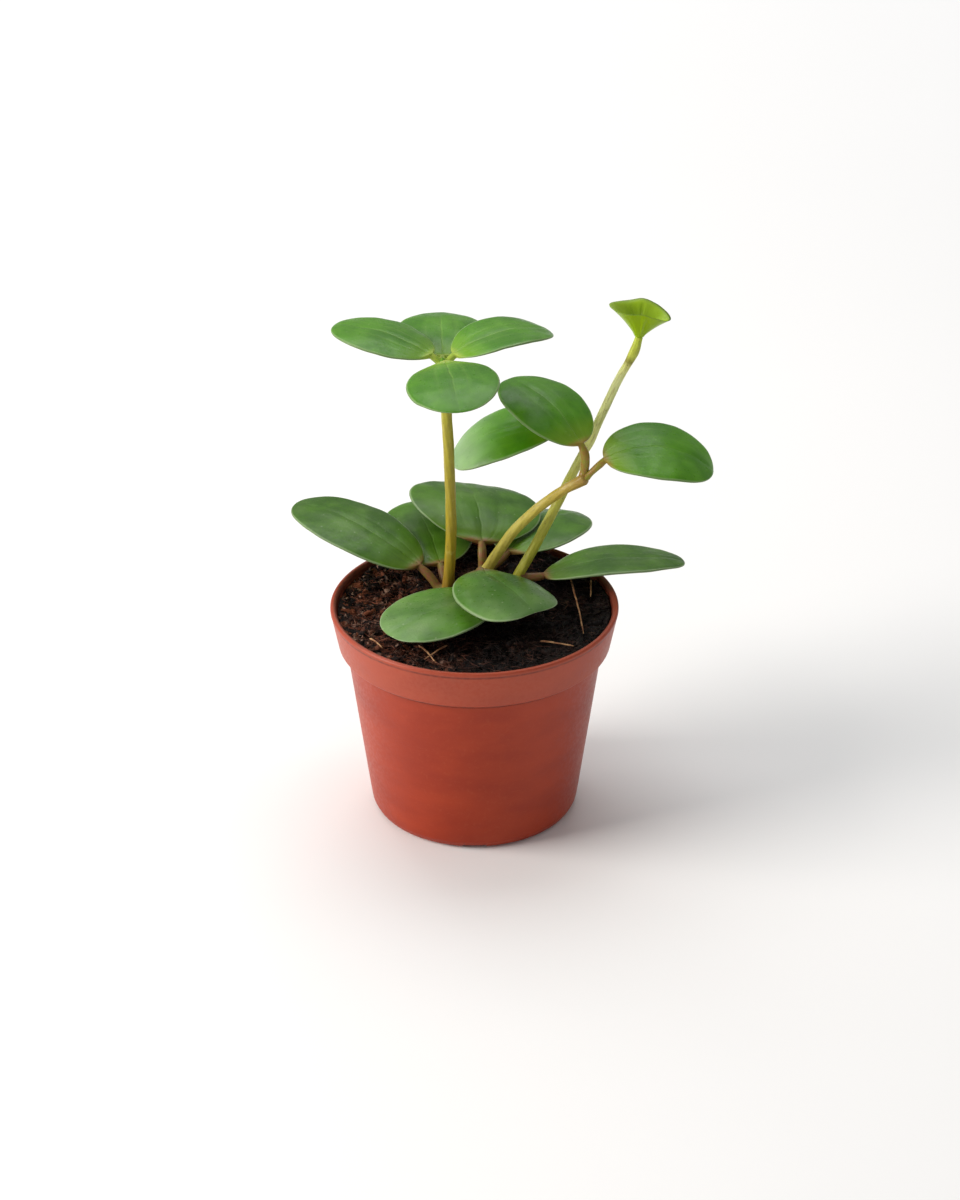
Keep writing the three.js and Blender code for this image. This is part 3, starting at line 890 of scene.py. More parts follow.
@dataclass
class Stem:
    """One stem, drawn over its CAD node."""

    node: str
    skin: StemSkin
    shift: float
    around: int = 32
    along: int = 150
    ridges: int = 7
    ridge: float = 0.035 * MM
    ridge_twist: float = 40.0
    knob: float = 0.05 * MM
    knob_length: float = 2.5 * MM
    cap_share: float = 0.025
    cap_rise: float = 0.7
    points_around: int = 8

    def middles(self) -> np.ndarray:
        """Points close together along the stem's middle."""
        rows = RingFit(self.node, self.points_around).swings()[:, 0]
        steps = 10
        places = np.linspace(0, len(rows) - 1, steps * len(rows))
        return between(rows, 2 * rows[0] - rows[1], 2 * rows[-1] - rows[-2], places)

    def build(self) -> bpy.types.Object:
        """Makes the stem.

        Returns:
            The piece.
        """
        swings = RingFit(self.node, self.points_around).swings()
        first = swings[0].copy()
        first[0] = 2 * swings[0, 0] - swings[1, 0]
        last = swings[-1].copy()
        last[0] = 2 * swings[-1, 0] - swings[-2, 0]
        cap = self.cap_share

        def place(share: np.ndarray, angle: np.ndarray) -> np.ndarray:
            """Gives each point of the stem."""
            inner = np.clip((share - cap) / (1 - 2 * cap), 0, 1)
            rows = between(swings, first, last, inner * (len(swings) - 1))
            rim = np.clip(np.minimum(share, 1 - share) / cap, 0, 1)
            rounded = np.sqrt(1 - (1 - rim) ** 2)
            rows[:, 1:] *= rounded[:, None, None]
            points = around_ring(rows, angle)
            out = points - rows[:, 0]
            length = np.maximum(np.linalg.norm(out, axis=1), TINY)[:, None]
            ahead = (last[0] - swings[-1, 0]) / np.linalg.norm(last[0] - swings[-1, 0])
            radius = np.linalg.norm(swings[-1, 1])
            points += ((share > 0.5) * (1 - rim) * radius * self.cap_rise)[:, None] * ahead
            wave = np.cos(self.ridges * angle + self.ridge_twist * share) * self.ridge
            knobs = self.knob * ripple(points, self.knob_length, self.shift)
            return points + ((wave + knobs) * rounded)[:, None] * out / length

        work, share, angle = wrap_sphere(self.around, self.along, place)
        piece = make_piece(
            self.node + "_skin", work, self.skin.material(self.node, self.shift), [self.node]
        )
        store(piece, "bark", np.stack([share, np.cos(angle), np.sin(angle)], axis=1))
        return piece


# ---------------------------------------------------------------- coir strands


@dataclass(frozen=True)
class CoirFibre:
    """Coconut husk fibre, retted and dried: a matt straw-brown hair, darker in places."""

    pale: str = "#d0a273"
    dark: str = "#93603e"
    crack: str = "#4a2a1c"

    def material(self, name: str) -> bpy.types.Material:
        """Makes the finish."""
        paint = Paint(name)
        cloud = paint.grain(2.2 * MM, detail=4)
        colour = paint.blend(paint.spread(cloud, 0.38, 0.66), self.dark, self.pale)
        hairs = paint.grain(0.25 * MM, detail=3)
        colour = paint.blend(paint.spread(hairs, 0.5, 0.8, 0, 0.5), colour, self.crack)
        return paint.finish(
            Base_Color=colour, Roughness=paint.spread(hairs, 0.3, 0.7, 0.6, 0.85), IOR=1.5,
            Normal=paint.bump(hairs, 0.05 * MM),
        )


@dataclass
class Strand:
    """One loose coir strand on the mix, thinner than the solid that stands for it and slightly kinked."""

    node: str
    material: bpy.types.Material
    shift: float
    slimming: float = 0.72
    kink: float = 0.18 * MM
    kink_length: float = 4 * MM
    sink: float = 0.1 * MM
    wall_lift: float = 1.0 * MM
    lift_reach: tuple[float, float] = (22 * MM, 28 * MM)
    around: int = 8
    along: int = 60
    points_around: int = 6

    def build(self) -> bpy.types.Object:
        """Makes the strand.

        Returns:
            The piece.
        """
        swings = RingFit(self.node, self.points_around).swings()
        first, last = swings[0].copy(), swings[-1].copy()
        first[0] = 2 * swings[0, 0] - swings[1, 0]
        last[0] = 2 * swings[-1, 0] - swings[-2, 0]

        def place(share: np.ndarray, angle: np.ndarray) -> np.ndarray:
            """Gives each point of the strand."""
            rows = between(swings, first, last, share * (len(swings) - 1))
            taper = np.clip(np.sin(np.pi * share) * 3, 0, 1) ** 0.5 * (0.6 + 0.4 * share)
            rows[:, 1:] *= (self.slimming * taper)[:, None, None]
            points = around_ring(rows, angle)
            middles = rows[:, 0]
            for axis, shift in ((0, self.shift), (1, -self.shift)):
                points[:, axis] += self.kink * ripple(middles, self.kink_length, shift)
            points[:, 2] -= self.sink * (1 - 0.5 * np.sin(np.pi * share))
            out = np.hypot(middles[:, 0], middles[:, 1])
            points[:, 2] += self.wall_lift * smooth_step(out, *self.lift_reach)
            return points

        work, _, _ = wrap_sphere(self.around, self.along, place)
        return make_piece(self.node + "_fibre", work, self.material, [self.node])


# ---------------------------------------------------------------- pot


@dataclass(frozen=True)
class MouldedPolypropylene:
    """Terracotta-coloured polypropylene, injection moulded: an even satin skin with faint flow marks.

    Handling leaves hair-fine scuffs, and the potting mix leaves a little dust near the lip.
    """

    body: str = "#a43512"
    deep: str = "#962c0d"
    scuff: str = "#b4563a"
    dust: str = "#6a3a2a"
    # Dark brown on the inside of the collar's wall.
    inner_wall_dark: str = "#4a2014"
    # Painted light: the collar's paler colour.
    collar_painted_light: str = "#b4604a"
    # Painted shade: the dark bands under the collar's step and under the lip.
    painted_shade: str = "#5a2013"
    # The collar's wall leans out by this share of its rise. Carried down to the ground, its inner face would be
    # at 18.8 mm and its outer face at 20 mm from the middle, and the dark inner band ends between the two.
    wall_lean: float = 0.213
    wall_inset: tuple[float, float] = (19.1 * MM, 19.5 * MM)
    roughness: float = 0.4
    texture_size: float = 0.45 * MM
    texture_depth: float = 0.012 * MM
    dent_size: float = 9 * MM
    dent_depth: float = 0.03 * MM

    def material(self, name: str, lip_height: float, step_height: float) -> bpy.types.Material:
        """Makes the finish.

        Args:
            name: The material's name.
            lip_height: Height of the pot's lip, in metres.
            step_height: Height of the step under the collar, in metres.

        Returns:
            The material.
        """
        paint = Paint(name)
        flow = paint.grain(16 * MM, detail=3, stretch=(1, 1, 2.5))
        colour = paint.blend(paint.spread(flow, 0.3, 0.7), self.deep, self.body)
        fine = paint.grain(0.8 * MM, detail=5)
        colour = paint.blend(paint.spread(fine, 0.5, 0.8, 0, 0.22), colour, self.scuff)
        # Scuffs run round the wall, about 0.2 mm high and some millimetres long.
        scuffs = paint.grain(0.9 * MM, detail=4, stretch=(0.18, 0.18, 3.5), shift=3.0)
        patch = paint.spread(paint.grain(9 * MM, shift=5.0), 0.5, 0.7)
        scuffed = paint.sum("MULTIPLY", paint.spread(scuffs, 0.62, 0.74), patch)
        colour = paint.blend(paint.sum("MULTIPLY", scuffed, 0.3), colour, self.scuff)
        height = paint.node("ShaderNodeSeparateXYZ", {0: paint.place}).outputs[2]
        near_lip = paint.spread(height, lip_height - 3.2 * MM, lip_height - 0.2 * MM)
        patchiness = paint.spread(paint.grain(1.6 * MM, detail=5), 0.52, 0.7, 0, 0.4)
        colour = paint.blend(paint.sum("MULTIPLY", near_lip, patchiness), colour, self.dust)
        # The inside of the wall, which leans out about a fifth of its rise, is painted dark brown in grainy
        # patches.
        flat = paint.node("ShaderNodeVectorMath", {0: paint.place, 1: (1, 1, 0)}, operation="MULTIPLY")
        radius = paint.node("ShaderNodeVectorMath", {0: flat.outputs[0]}, operation="LENGTH").outputs["Value"]
        inset = paint.sum("SUBTRACT", radius, paint.sum("MULTIPLY", height, self.wall_lean))
        inner_wall = paint.spread(inset, *self.wall_inset, 1, 0)
        in_collar = paint.spread(height, step_height, step_height + 0.5 * MM)
        inside = paint.sum("MULTIPLY", inner_wall, in_collar)
        patchiness = paint.spread(paint.grain(1.2 * MM, detail=4), 0.3, 0.6, 0.55, 0.9)
        colour = paint.blend(paint.sum("MULTIPLY", inside, patchiness), colour, self.inner_wall_dark)
        # Painted light: the collar is painted a little paler than the wall below it, as a collar that catches
        # more light would look.
        collar_painted_light = paint.spread(height, step_height - 0.3 * MM, step_height + 0.6 * MM, 0, 0.4)
        collar_painted_light = paint.sum("MULTIPLY", collar_painted_light, paint.spread(fine, 0.3, 0.6, 0.7, 1))
        colour = paint.blend(collar_painted_light, colour, self.collar_painted_light)
        # The mould's texture is finer than this, and is drawn as coarse as it needs to show.
        skin = paint.bump(paint.grain(self.texture_size, detail=3), self.texture_depth)
        # The wall has shrunk a little unevenly as it cooled, in dents about 9 mm wide.
        skin = paint.bump(paint.grain(self.dent_size, detail=1), self.dent_depth, skin)
        # Painted shade: dark bands in the step under the collar and in the turn of the lip.
        speckle = paint.spread(paint.grain(1.2 * MM, detail=4), 0.3, 0.6, 0.5, 1.0)
        shade_under_collar = (step_height - 0.5 * MM, 0.8 * MM, 0.95)
        shade_under_lip = (lip_height - 1.0 * MM, 0.4 * MM, 0.7)
        for middle, half, share in (shade_under_collar, shade_under_lip):
            off = paint.sum("ABSOLUTE", paint.sum("SUBTRACT", height, middle))
            line = paint.sum("MULTIPLY", paint.spread(off, 0.15 * half, half, share, 0), speckle)
            colour = paint.blend(line, colour, self.painted_shade)
        return paint.finish(
            Base_Color=colour,
            Roughness=paint.spread(fine, 0.3, 0.7, self.roughness - 0.05, self.roughness + 0.08),
            IOR=1.49,
            Normal=skin,
            Specular_IOR_Level=0.3,
        )


@dataclass
class Pot:
    """The round nursery pot, turned from its profile, with drain holes and foot notches cut. Millimetres."""

    node: str = "pot"
    wall: float = 1.2
    collar_height: float = 8.8
    collar_foot_radius: float = 28.4
    body_top_radius: float = 26.8
    body_foot_radius: float = 21.7
    foot_inner: float = 17.2
    foot_outer: float = 20.3
    pad_radius: float = 8
    recess: float = 1.6
    floor_top: float = 3
    hole_count: int = 6
    hole_radius: float = 2.4
    hole_circle: float = 12.6
    notch_count: int = 3
    notch_width: float = 5
    notch_height: float = 1
    segments: int = 160
    rounding: float = 0.22
    height: float = field(init=False)
    rim_radius: float = field(init=False)

    def __post_init__(self) -> None:
        """Takes the pot's height and the lip's radius from the CAD node's box."""
        _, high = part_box(self.node)
        self.height = high.z / MM
        self.rim_radius = high.x / MM

    def _body_radius(self, height: float) -> float:
        """Outside radius of the tapered body at a height."""
        share = height / (self.height - self.collar_height)
        return self.body_foot_radius + (self.body_top_radius - self.body_foot_radius) * share

    def _profile(self) -> list[tuple[float, float]]:
        """Radius and height of each corner, from the underside's middle round to the floor's middle."""
        collar_foot = self.height - self.collar_height
        corner_top = 4.5
        inner_corner = 0.8
        return [
            (0, 0),
            (self.pad_radius, 0),
            (self.pad_radius + 1, self.recess),
            (self.foot_inner - 0.8, self.recess),
            (self.foot_inner, 0),
            (self.foot_outer, 0),
            (self.foot_outer + 1, 0.6),
            (self.foot_outer + 1.6, 1.8),
            (self._body_radius(corner_top), corner_top),
            (self._body_radius(collar_foot - 0.6), collar_foot - 0.6),
            (self.collar_foot_radius - 0.6, collar_foot - 0.1),
            (self.collar_foot_radius, collar_foot + 0.4),
            (self.rim_radius - 0.15, self.height - 1),
            (self.rim_radius, self.height - 0.6),
            (self.rim_radius - 0.1, self.height - 0.2),
            (self.rim_radius - 0.4, self.height),
            (self.rim_radius - self.wall + 0.3, self.height),
            (self.rim_radius - self.wall, self.height - 0.3),
            (self.collar_foot_radius - self.wall, collar_foot + 1),
            (self.body_top_radius - self.wall, collar_foot - 0.3),
            (self._body_radius(self.floor_top + inner_corner) - self.wall, self.floor_top + inner_corner),
            (self._body_radius(self.floor_top) - self.wall - inner_corner, self.floor_top),
            (0, self.floor_top),
        ]

    def _turned(self) -> bmesh.types.BMesh:
        """Spins the profile into a closed pot, and rounds its corners.

        Returns:
            The bmesh, in metres.
        """
        work = bmesh.new()
        corners = [work.verts.new((radius * MM, 0, height * MM)) for radius, height in self._profile()]
        for pair in zip(corners, corners[1:]):
            work.edges.new(pair)
        bmesh.ops.bevel(
            work, geom=corners[1:-1], offset=self.rounding * MM, affect="VERTICES", segments=3, profile=0.5,
            material=-1,
        )
        bmesh.ops.spin(
            work, geom=work.verts[:] + work.edges[:], axis=(0, 0, 1), cent=(0, 0, 0), angle=2 * math.pi,
            steps=self.segments, use_merge=True,
        )
        bmesh.ops.remove_doubles(work, verts=work.verts, dist=0.001 * MM)
        bmesh.ops.recalc_face_normals(work, faces=work.faces)
        return work

    def _cutters(self) -> bmesh.types.BMesh:
        """Makes the drills for the holes and the blocks for the notches.

        Returns:
            One bmesh of separate closed bodies.
        """
        work = bmesh.new()
        for hole in range(self.hole_count):
            turn = Matrix.Rotation(2 * math.pi * hole / self.hole_count, 4, "Z")
            place = turn @ Matrix.Translation(Vector((self.hole_circle, 0, self.floor_top)) * MM)
            radius = self.hole_radius * MM
            bmesh.ops.create_cone(
                work, cap_ends=True, segments=40, radius1=radius, radius2=radius,
                depth=2 * self.floor_top * MM, matrix=place,
            )
        for notch in range(self.notch_count):
            turn = Matrix.Rotation(2 * math.pi * (notch + 0.25) / self.notch_count, 4, "Z")
            length = self.foot_outer
            place = turn @ Matrix.Translation(Vector((self.foot_inner - 1 + length / 2, 0, 0)) * MM)
            size = Matrix.Diagonal(Vector((length, self.notch_width, 2 * self.notch_height, 1 / MM)) * MM)
            bmesh.ops.create_cube(work, size=1, matrix=place @ size)
        return work

    def build(self) -> bpy.types.Object:
        """Makes the pot.

        Returns:
            The piece.
        """
        step_height = (self.height - self.collar_height) * MM
        finish = MouldedPolypropylene().material("moulded_polypropylene", self.height * MM, step_height)
        scene = bpy.context.scene
        bodies = []
        for name, work in (("pot_turned", self._turned()), ("pot_cutters", self._cutters())):
            mesh = bpy.data.meshes.new(name)
            work.to_mesh(mesh)
            work.free()
            bodies.append(bpy.data.objects.new(name, mesh))
            scene.collection.objects.link(bodies[-1])
        turned, cutters = bodies
        cut = turned.modifiers.new("cut", "BOOLEAN")
        cut.operation, cut.solver, cut.object = "DIFFERENCE", "EXACT", cutters
        bpy.context.view_layer.update()
        shaped = bpy.data.meshes.new_from_object(turned.evaluated_get(bpy.context.evaluated_depsgraph_get()))
        work = bmesh.new()
        work.from_mesh(shaped)
        for body in bodies:
            bpy.data.objects.remove(body)
        piece = make_piece("nursery_pot", work, finish, [self.node])
        piece.data.set_sharp_from_angle(angle=math.radians(40))
        return piece


# ---------------------------------------------------------------- potting mix


@dataclass(frozen=True)
class MoistPeat:
    """Potting mix of peat and coir, sieved and watered: near-black crumbs with red-brown fibrous bits.

    Moist crumbs catch small dull glints, and dry bits show as pinkish-brown specks.
    """

    dark: str = "#050303"
    brown: str = "#24110b"
    rust: str = "#854a30"
    speck: str = "#b6917e"

    def material(self, name: str) -> bpy.types.Material:
        """Makes the finish."""
        paint = Paint(name)
        patch = paint.grain(9 * MM, detail=3)
        east = paint.node("ShaderNodeSeparateXYZ", {0: paint.place}).outputs[0]
        # The mix is painted browner towards -X, the lamp side, and in patches: partly dried mix and partly
        # painted light.
        dry_and_lit_side = paint.spread(east, -24 * MM, 4 * MM, 0.85, 0.0)
        dry_and_lit = paint.sum("ADD", dry_and_lit_side, paint.spread(patch, 0.4, 0.7, 0, 0.12))
        tone = paint.spread(paint.grain(1.3 * MM, detail=6), 0.4, 0.62)
        browner = paint.sum("MULTIPLY", tone, paint.sum("ADD", dry_and_lit, 0.25))
        colour = paint.blend(browner, self.dark, self.brown)
        crumb = paint.node("ShaderNodeTexVoronoi", {"Vector": paint.place, "Scale": 1 / (1.4 * MM)})
        crumb_tone = paint.node("ShaderNodeSeparateColor", {0: crumb.outputs["Color"]}).outputs[0]
        rusty = paint.sum("MULTIPLY", paint.spread(crumb_tone, 0.6, 0.95), dry_and_lit)
        colour = paint.blend(rusty, colour, self.rust)
        bits = paint.node("ShaderNodeTexVoronoi", {"Vector": paint.place, "Scale": 1 / (0.75 * MM)})
        bit_tone = paint.node("ShaderNodeSeparateColor", {0: bits.outputs["Color"]}).outputs[1]
        pale = paint.sum("MULTIPLY", paint.spread(bit_tone, 0.88, 0.97), dry_and_lit)
        colour = paint.blend(pale, colour, self.speck)
        rough = paint.grain(0.35 * MM, detail=6)
        return paint.finish(
            Base_Color=colour,
            Roughness=paint.spread(rough, 0.35, 0.7, 0.62, 0.95),
            IOR=1.5,
            Normal=paint.bump(rough, 0.25 * MM),
            Specular_IOR_Level=0.22,
        )


@dataclass(frozen=True)
class MoistFibre:
    """Coir hairs in the mix, shredded and moist: red-brown towards -X, partly as dried hair and partly as
    painted light from the lamp side; near black elsewhere.
    """

    wet: str = "#140907"
    red: str = "#8c5038"
    pale: str = "#b58d72"

    def material(self, name: str) -> bpy.types.Material:
        """Makes the finish."""
        paint = Paint(name)
        east = paint.node("ShaderNodeSeparateXYZ", {0: paint.place}).outputs[0]
        patch = paint.grain(7 * MM, detail=3, shift=1.0)
        # Partly painted light: the hairs go redder towards -X, the lamp side, as well as where they have dried.
        dry_and_lit_side = paint.spread(east, -24 * MM, 6 * MM, 0.85, 0.06)
        dry_and_lit = paint.sum("ADD", dry_and_lit_side, paint.spread(patch, 0.45, 0.7, 0, 0.28))
        tone = paint.spread(paint.grain(1.6 * MM, detail=3), 0.35, 0.65)
        colour = paint.blend(paint.sum("MULTIPLY", tone, dry_and_lit), self.wet, self.red)
        bleached = paint.spread(paint.grain(2.6 * MM, shift=4.0, detail=2), 0.58, 0.7)
        colour = paint.blend(paint.sum("MULTIPLY", bleached, dry_and_lit), colour, self.pale)
        hairs = paint.grain(0.25 * MM, detail=3)
        return paint.finish(
            Base_Color=colour, Roughness=paint.spread(hairs, 0.3, 0.7, 0.5, 0.8), IOR=1.5,
            Normal=paint.bump(hairs, 0.05 * MM), Specular_IOR_Level=0.35,
        )


@dataclass
class Mound:
    """A low heap of the mix: its middle, its height above the edge and its spread, in millimetres."""

    x: float
    y: float
    height: float
    spread: float


@dataclass
class PottingMix:
    """The mix in the pot: a rough body, crumbs on it and fibres through them. Millimetres."""

    node: str = "potting_mix"
    wall_radius: float = 28.35
    level: float = 44.7
    climb: float = 1.1
    collar_foot: float = 38.2
    foot_radius: float = 19.5
    neck_radius: float = 25.3
    mounds: tuple[Mound, ...] = (Mound(4, 9, 3, 9), Mound(13, 18, 3.6, 5))
    step: float = 0.55
    segments: int = 260
    relief: float = 0.95
    pit: float = 4.0
    coarse_crumbs: int = 150
    fine_crumbs: int = 4800
    fibres: int = 3800
    coarse_sizes: tuple[float, float] = (1.0, 2.4)
    fine_sizes: tuple[float, float] = (0.3, 0.95)
    crumb_shapes: int = 8
    fibre_shapes: int = 7
    shape_thickness: float = 0.02
    seed: int = 11

    def surface(self, x: float, y: float) -> float:
        """Height of the mix above the ground at a point, without its crumbs.

        Args:
            x: Millimetres along X.
            y: Millimetres along Y.

        Returns:
            The height, in millimetres.
        """
        height = sum(
            mound.height * math.exp(-((x - mound.x) ** 2 + (y - mound.y) ** 2) / (2 * mound.spread**2))
            for mound in self.mounds
        )
        at_wall = float(smooth_step(np.array(math.hypot(x, y)), self.wall_radius - 7, self.wall_radius))
        spot = Vector((x, y, 0))
        rough = noise.fractal(spot / 3.4, 0.8, 2.1, 6) * self.relief
        rough -= self.pit * max(noise.noise(spot / 2.6 + Vector((9, 4, 2))) - 0.12, 0)
        return self.level + height * (1 - at_wall) + self.climb * at_wall + rough * (1 - 0.4 * at_wall)

    def _body(self) -> bmesh.types.BMesh:
        """Spins the body and roughens its top.

        Returns:
            The bmesh, in metres.
        """
        low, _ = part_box(self.node)
        bottom = low.z / MM
        rings = int(self.wall_radius / self.step)
        top = [self.wall_radius * (1 - ring / rings) for ring in range(1, rings)]
        profile = [(0, bottom), (self.foot_radius, bottom), (self.foot_radius + 1.2, bottom + 1)]
        profile += [(self.neck_radius, self.collar_foot - 0.1)]
        profile += [(self.neck_radius + 1.6, self.collar_foot + 1.3), (self.wall_radius, self.level)]
        profile += [(radius, self.level) for radius in (*top, 0)]
        work = bmesh.new()
        corners = [work.verts.new((radius * MM, 0, height * MM)) for radius, height in profile]
        for pair in zip(corners, corners[1:]):
            work.edges.new(pair)
        bmesh.ops.spin(
            work, geom=work.verts[:] + work.edges[:], axis=(0, 0, 1), cent=(0, 0, 0), angle=2 * math.pi,
            steps=self.segments, use_merge=True,
        )
        bmesh.ops.remove_doubles(work, verts=work.verts, dist=0.001 * MM)
        for vert in work.verts:
            if vert.co.z > (self.level - 0.01) * MM:
                vert.co.z = self.surface(vert.co.x / MM, vert.co.y / MM) * MM
        bmesh.ops.recalc_face_normals(work, faces=work.faces)
        return work

    def _spot(self, dice: random.Random, reach: float) -> tuple[float, float]:
        """Draws a random spot of the surface, even over its area."""
        radius = reach * math.sqrt(dice.random())
        angle = dice.uniform(0, 2 * math.pi)
        return radius * math.cos(angle), radius * math.sin(angle)

    def _crumb_shapes(self, dice: random.Random, detail: int) -> list[bpy.types.Mesh]:
        """Makes a few knobbly crumbs of about 1 mm to be scattered."""
        shapes = []
        for index in range(self.crumb_shapes):
            work = bmesh.new()
            bmesh.ops.create_icosphere(work, subdivisions=detail, radius=0.5 * MM)
            for vert in work.verts:
                vert.co *= dice.uniform(0.6, 1.25)
            mesh = bpy.data.meshes.new(f"crumb_shape_{index}")
            work.to_mesh(mesh)
            work.free()
            shapes.append(mesh)
        return shapes

    def _fibre_shapes(self, dice: random.Random) -> list[bpy.types.Mesh]:
        """Makes a few bent fibres, one unit long and a fiftieth of that thick before they are sized."""
        shapes = []
        for index in range(self.fibre_shapes):
            bend, wave = dice.uniform(-0.45, 0.45), dice.uniform(-0.2, 0.2)

            def place(share: np.ndarray, angle: np.ndarray) -> np.ndarray:
                """Gives each point of the fibre."""
                radius = np.sin(np.pi * share) ** 0.35
                middle_y = bend * (share - 0.5) ** 2 * 4 + wave * np.sin(3 * np.pi * share)
                flat = np.stack([share - 0.5, middle_y, np.zeros_like(share)], axis=1)
                radius = radius * self.shape_thickness
                skin = [np.zeros_like(share), np.cos(angle) * radius, np.sin(angle) * radius]
                return flat + np.stack(skin, axis=1)

            work, _, _ = wrap_sphere(3, 8, place)
            mesh = bpy.data.meshes.new(f"fibre_shape_{index}")
            work.to_mesh(mesh)
            work.free()
            shapes.append(mesh)
        return shapes

    @staticmethod
    def _gather(shapes: Sequence[bpy.types.Mesh], places: Sequence[tuple[int, Matrix]]) -> bmesh.types.BMesh:
        """Puts copies of a few shapes at many places.

        Args:
            shapes: The meshes to copy.
            places: For each copy, which shape and where.

        Returns:
            One bmesh with every copy.
        """
        work = bmesh.new()
        for index, place in places:
            copy = shapes[index].copy()
            copy.transform(place)
            work.from_mesh(copy)
            bpy.data.meshes.remove(copy)
        return work

    def _crumbs(
        self, dice: random.Random, count: int, smallest: float, largest: float
    ) -> list[tuple[int, Matrix]]:
        """Draws the places of a number of crumbs.

        Args:
            dice: The random source.
            count: How many.
            smallest: Smallest size, in millimetres.
            largest: Largest size, in millimetres.

        Returns:
            For each crumb, which shape and where.
        """
        places = []
        for _ in range(count):
            size = smallest + (largest - smallest) * dice.random() ** 2.2
            x, y = self._spot(dice, self.wall_radius - 0.4 * size)
            z = self.surface(x, y) + size * dice.uniform(-0.15, 0.25)
            heading = Matrix.Rotation(dice.uniform(0, ANY_TURN), 4, "Z")
            turn = heading @ Matrix.Rotation(dice.uniform(0, ANY_TURN), 4, "X")
            long, thick = size * dice.uniform(0.8, 2.2), size * dice.uniform(0.4, 0.9)
            shape = Matrix.Diagonal((long, size * 0.8, thick, 1))
            where = Matrix.Translation(Vector((x, y, z)) * MM)
            places.append((dice.randrange(self.crumb_shapes), where @ turn @ shape))
        return places

    def _fibre_places(self, dice: random.Random) -> list[tuple[int, Matrix]]:
        """Draws the places of the fibres, which lie along the surface with some ends lifted."""
        places = []
        for _ in range(self.fibres):
            length = 1.4 + 6 * dice.random() ** 1.8
            x, y = self._spot(dice, self.wall_radius - 0.5 * length)
            z = self.surface(x, y) + dice.uniform(0.0, 0.45)
            heading = Matrix.Rotation(dice.uniform(0, ANY_TURN), 4, "Z")
            turn = heading @ Matrix.Rotation(dice.gauss(0, 0.16), 4, "Y")
            roll = Matrix.Rotation(dice.uniform(-0.7, 0.7), 4, "X")
            thick = (0.04 + 0.12 * dice.random() ** 2) / self.shape_thickness
            size = Matrix.Diagonal((length * MM, length * 0.35 * MM, thick * MM, 1))
            where = Matrix.Translation(Vector((x, y, z)) * MM)
            places.append((dice.randrange(self.fibre_shapes), where @ turn @ roll @ size))
        return places

    def build(self) -> None:
        """Makes the body, the crumbs and the fibres."""
        dice = random.Random(self.seed)
        peat = MoistPeat().material("moist_peat_and_coir")
        make_piece("potting_mix_body", self._body(), peat, [self.node])
        for name, detail, count, sizes in (
            ("coarse_crumbs", 2, self.coarse_crumbs, self.coarse_sizes),
            ("fine_crumbs", 1, self.fine_crumbs, self.fine_sizes),
        ):
            crumbs = self._gather(self._crumb_shapes(dice, detail), self._crumbs(dice, count, *sizes))
            make_piece(name, crumbs, peat)
        husk = MoistFibre().material("moist_coir_hair")
        tangle = self._gather(self._fibre_shapes(dice), self._fibre_places(dice))
        make_piece("fibre_tangle", tangle, husk)


# ---------------------------------------------------------------- studio


@dataclass(frozen=True)
class Lamp:
    """A soft square lamp: its power in watts, and its side and place in metres."""

    name: str
    power: float
    size: float
    where: tuple[float, float, float]
    colour: str


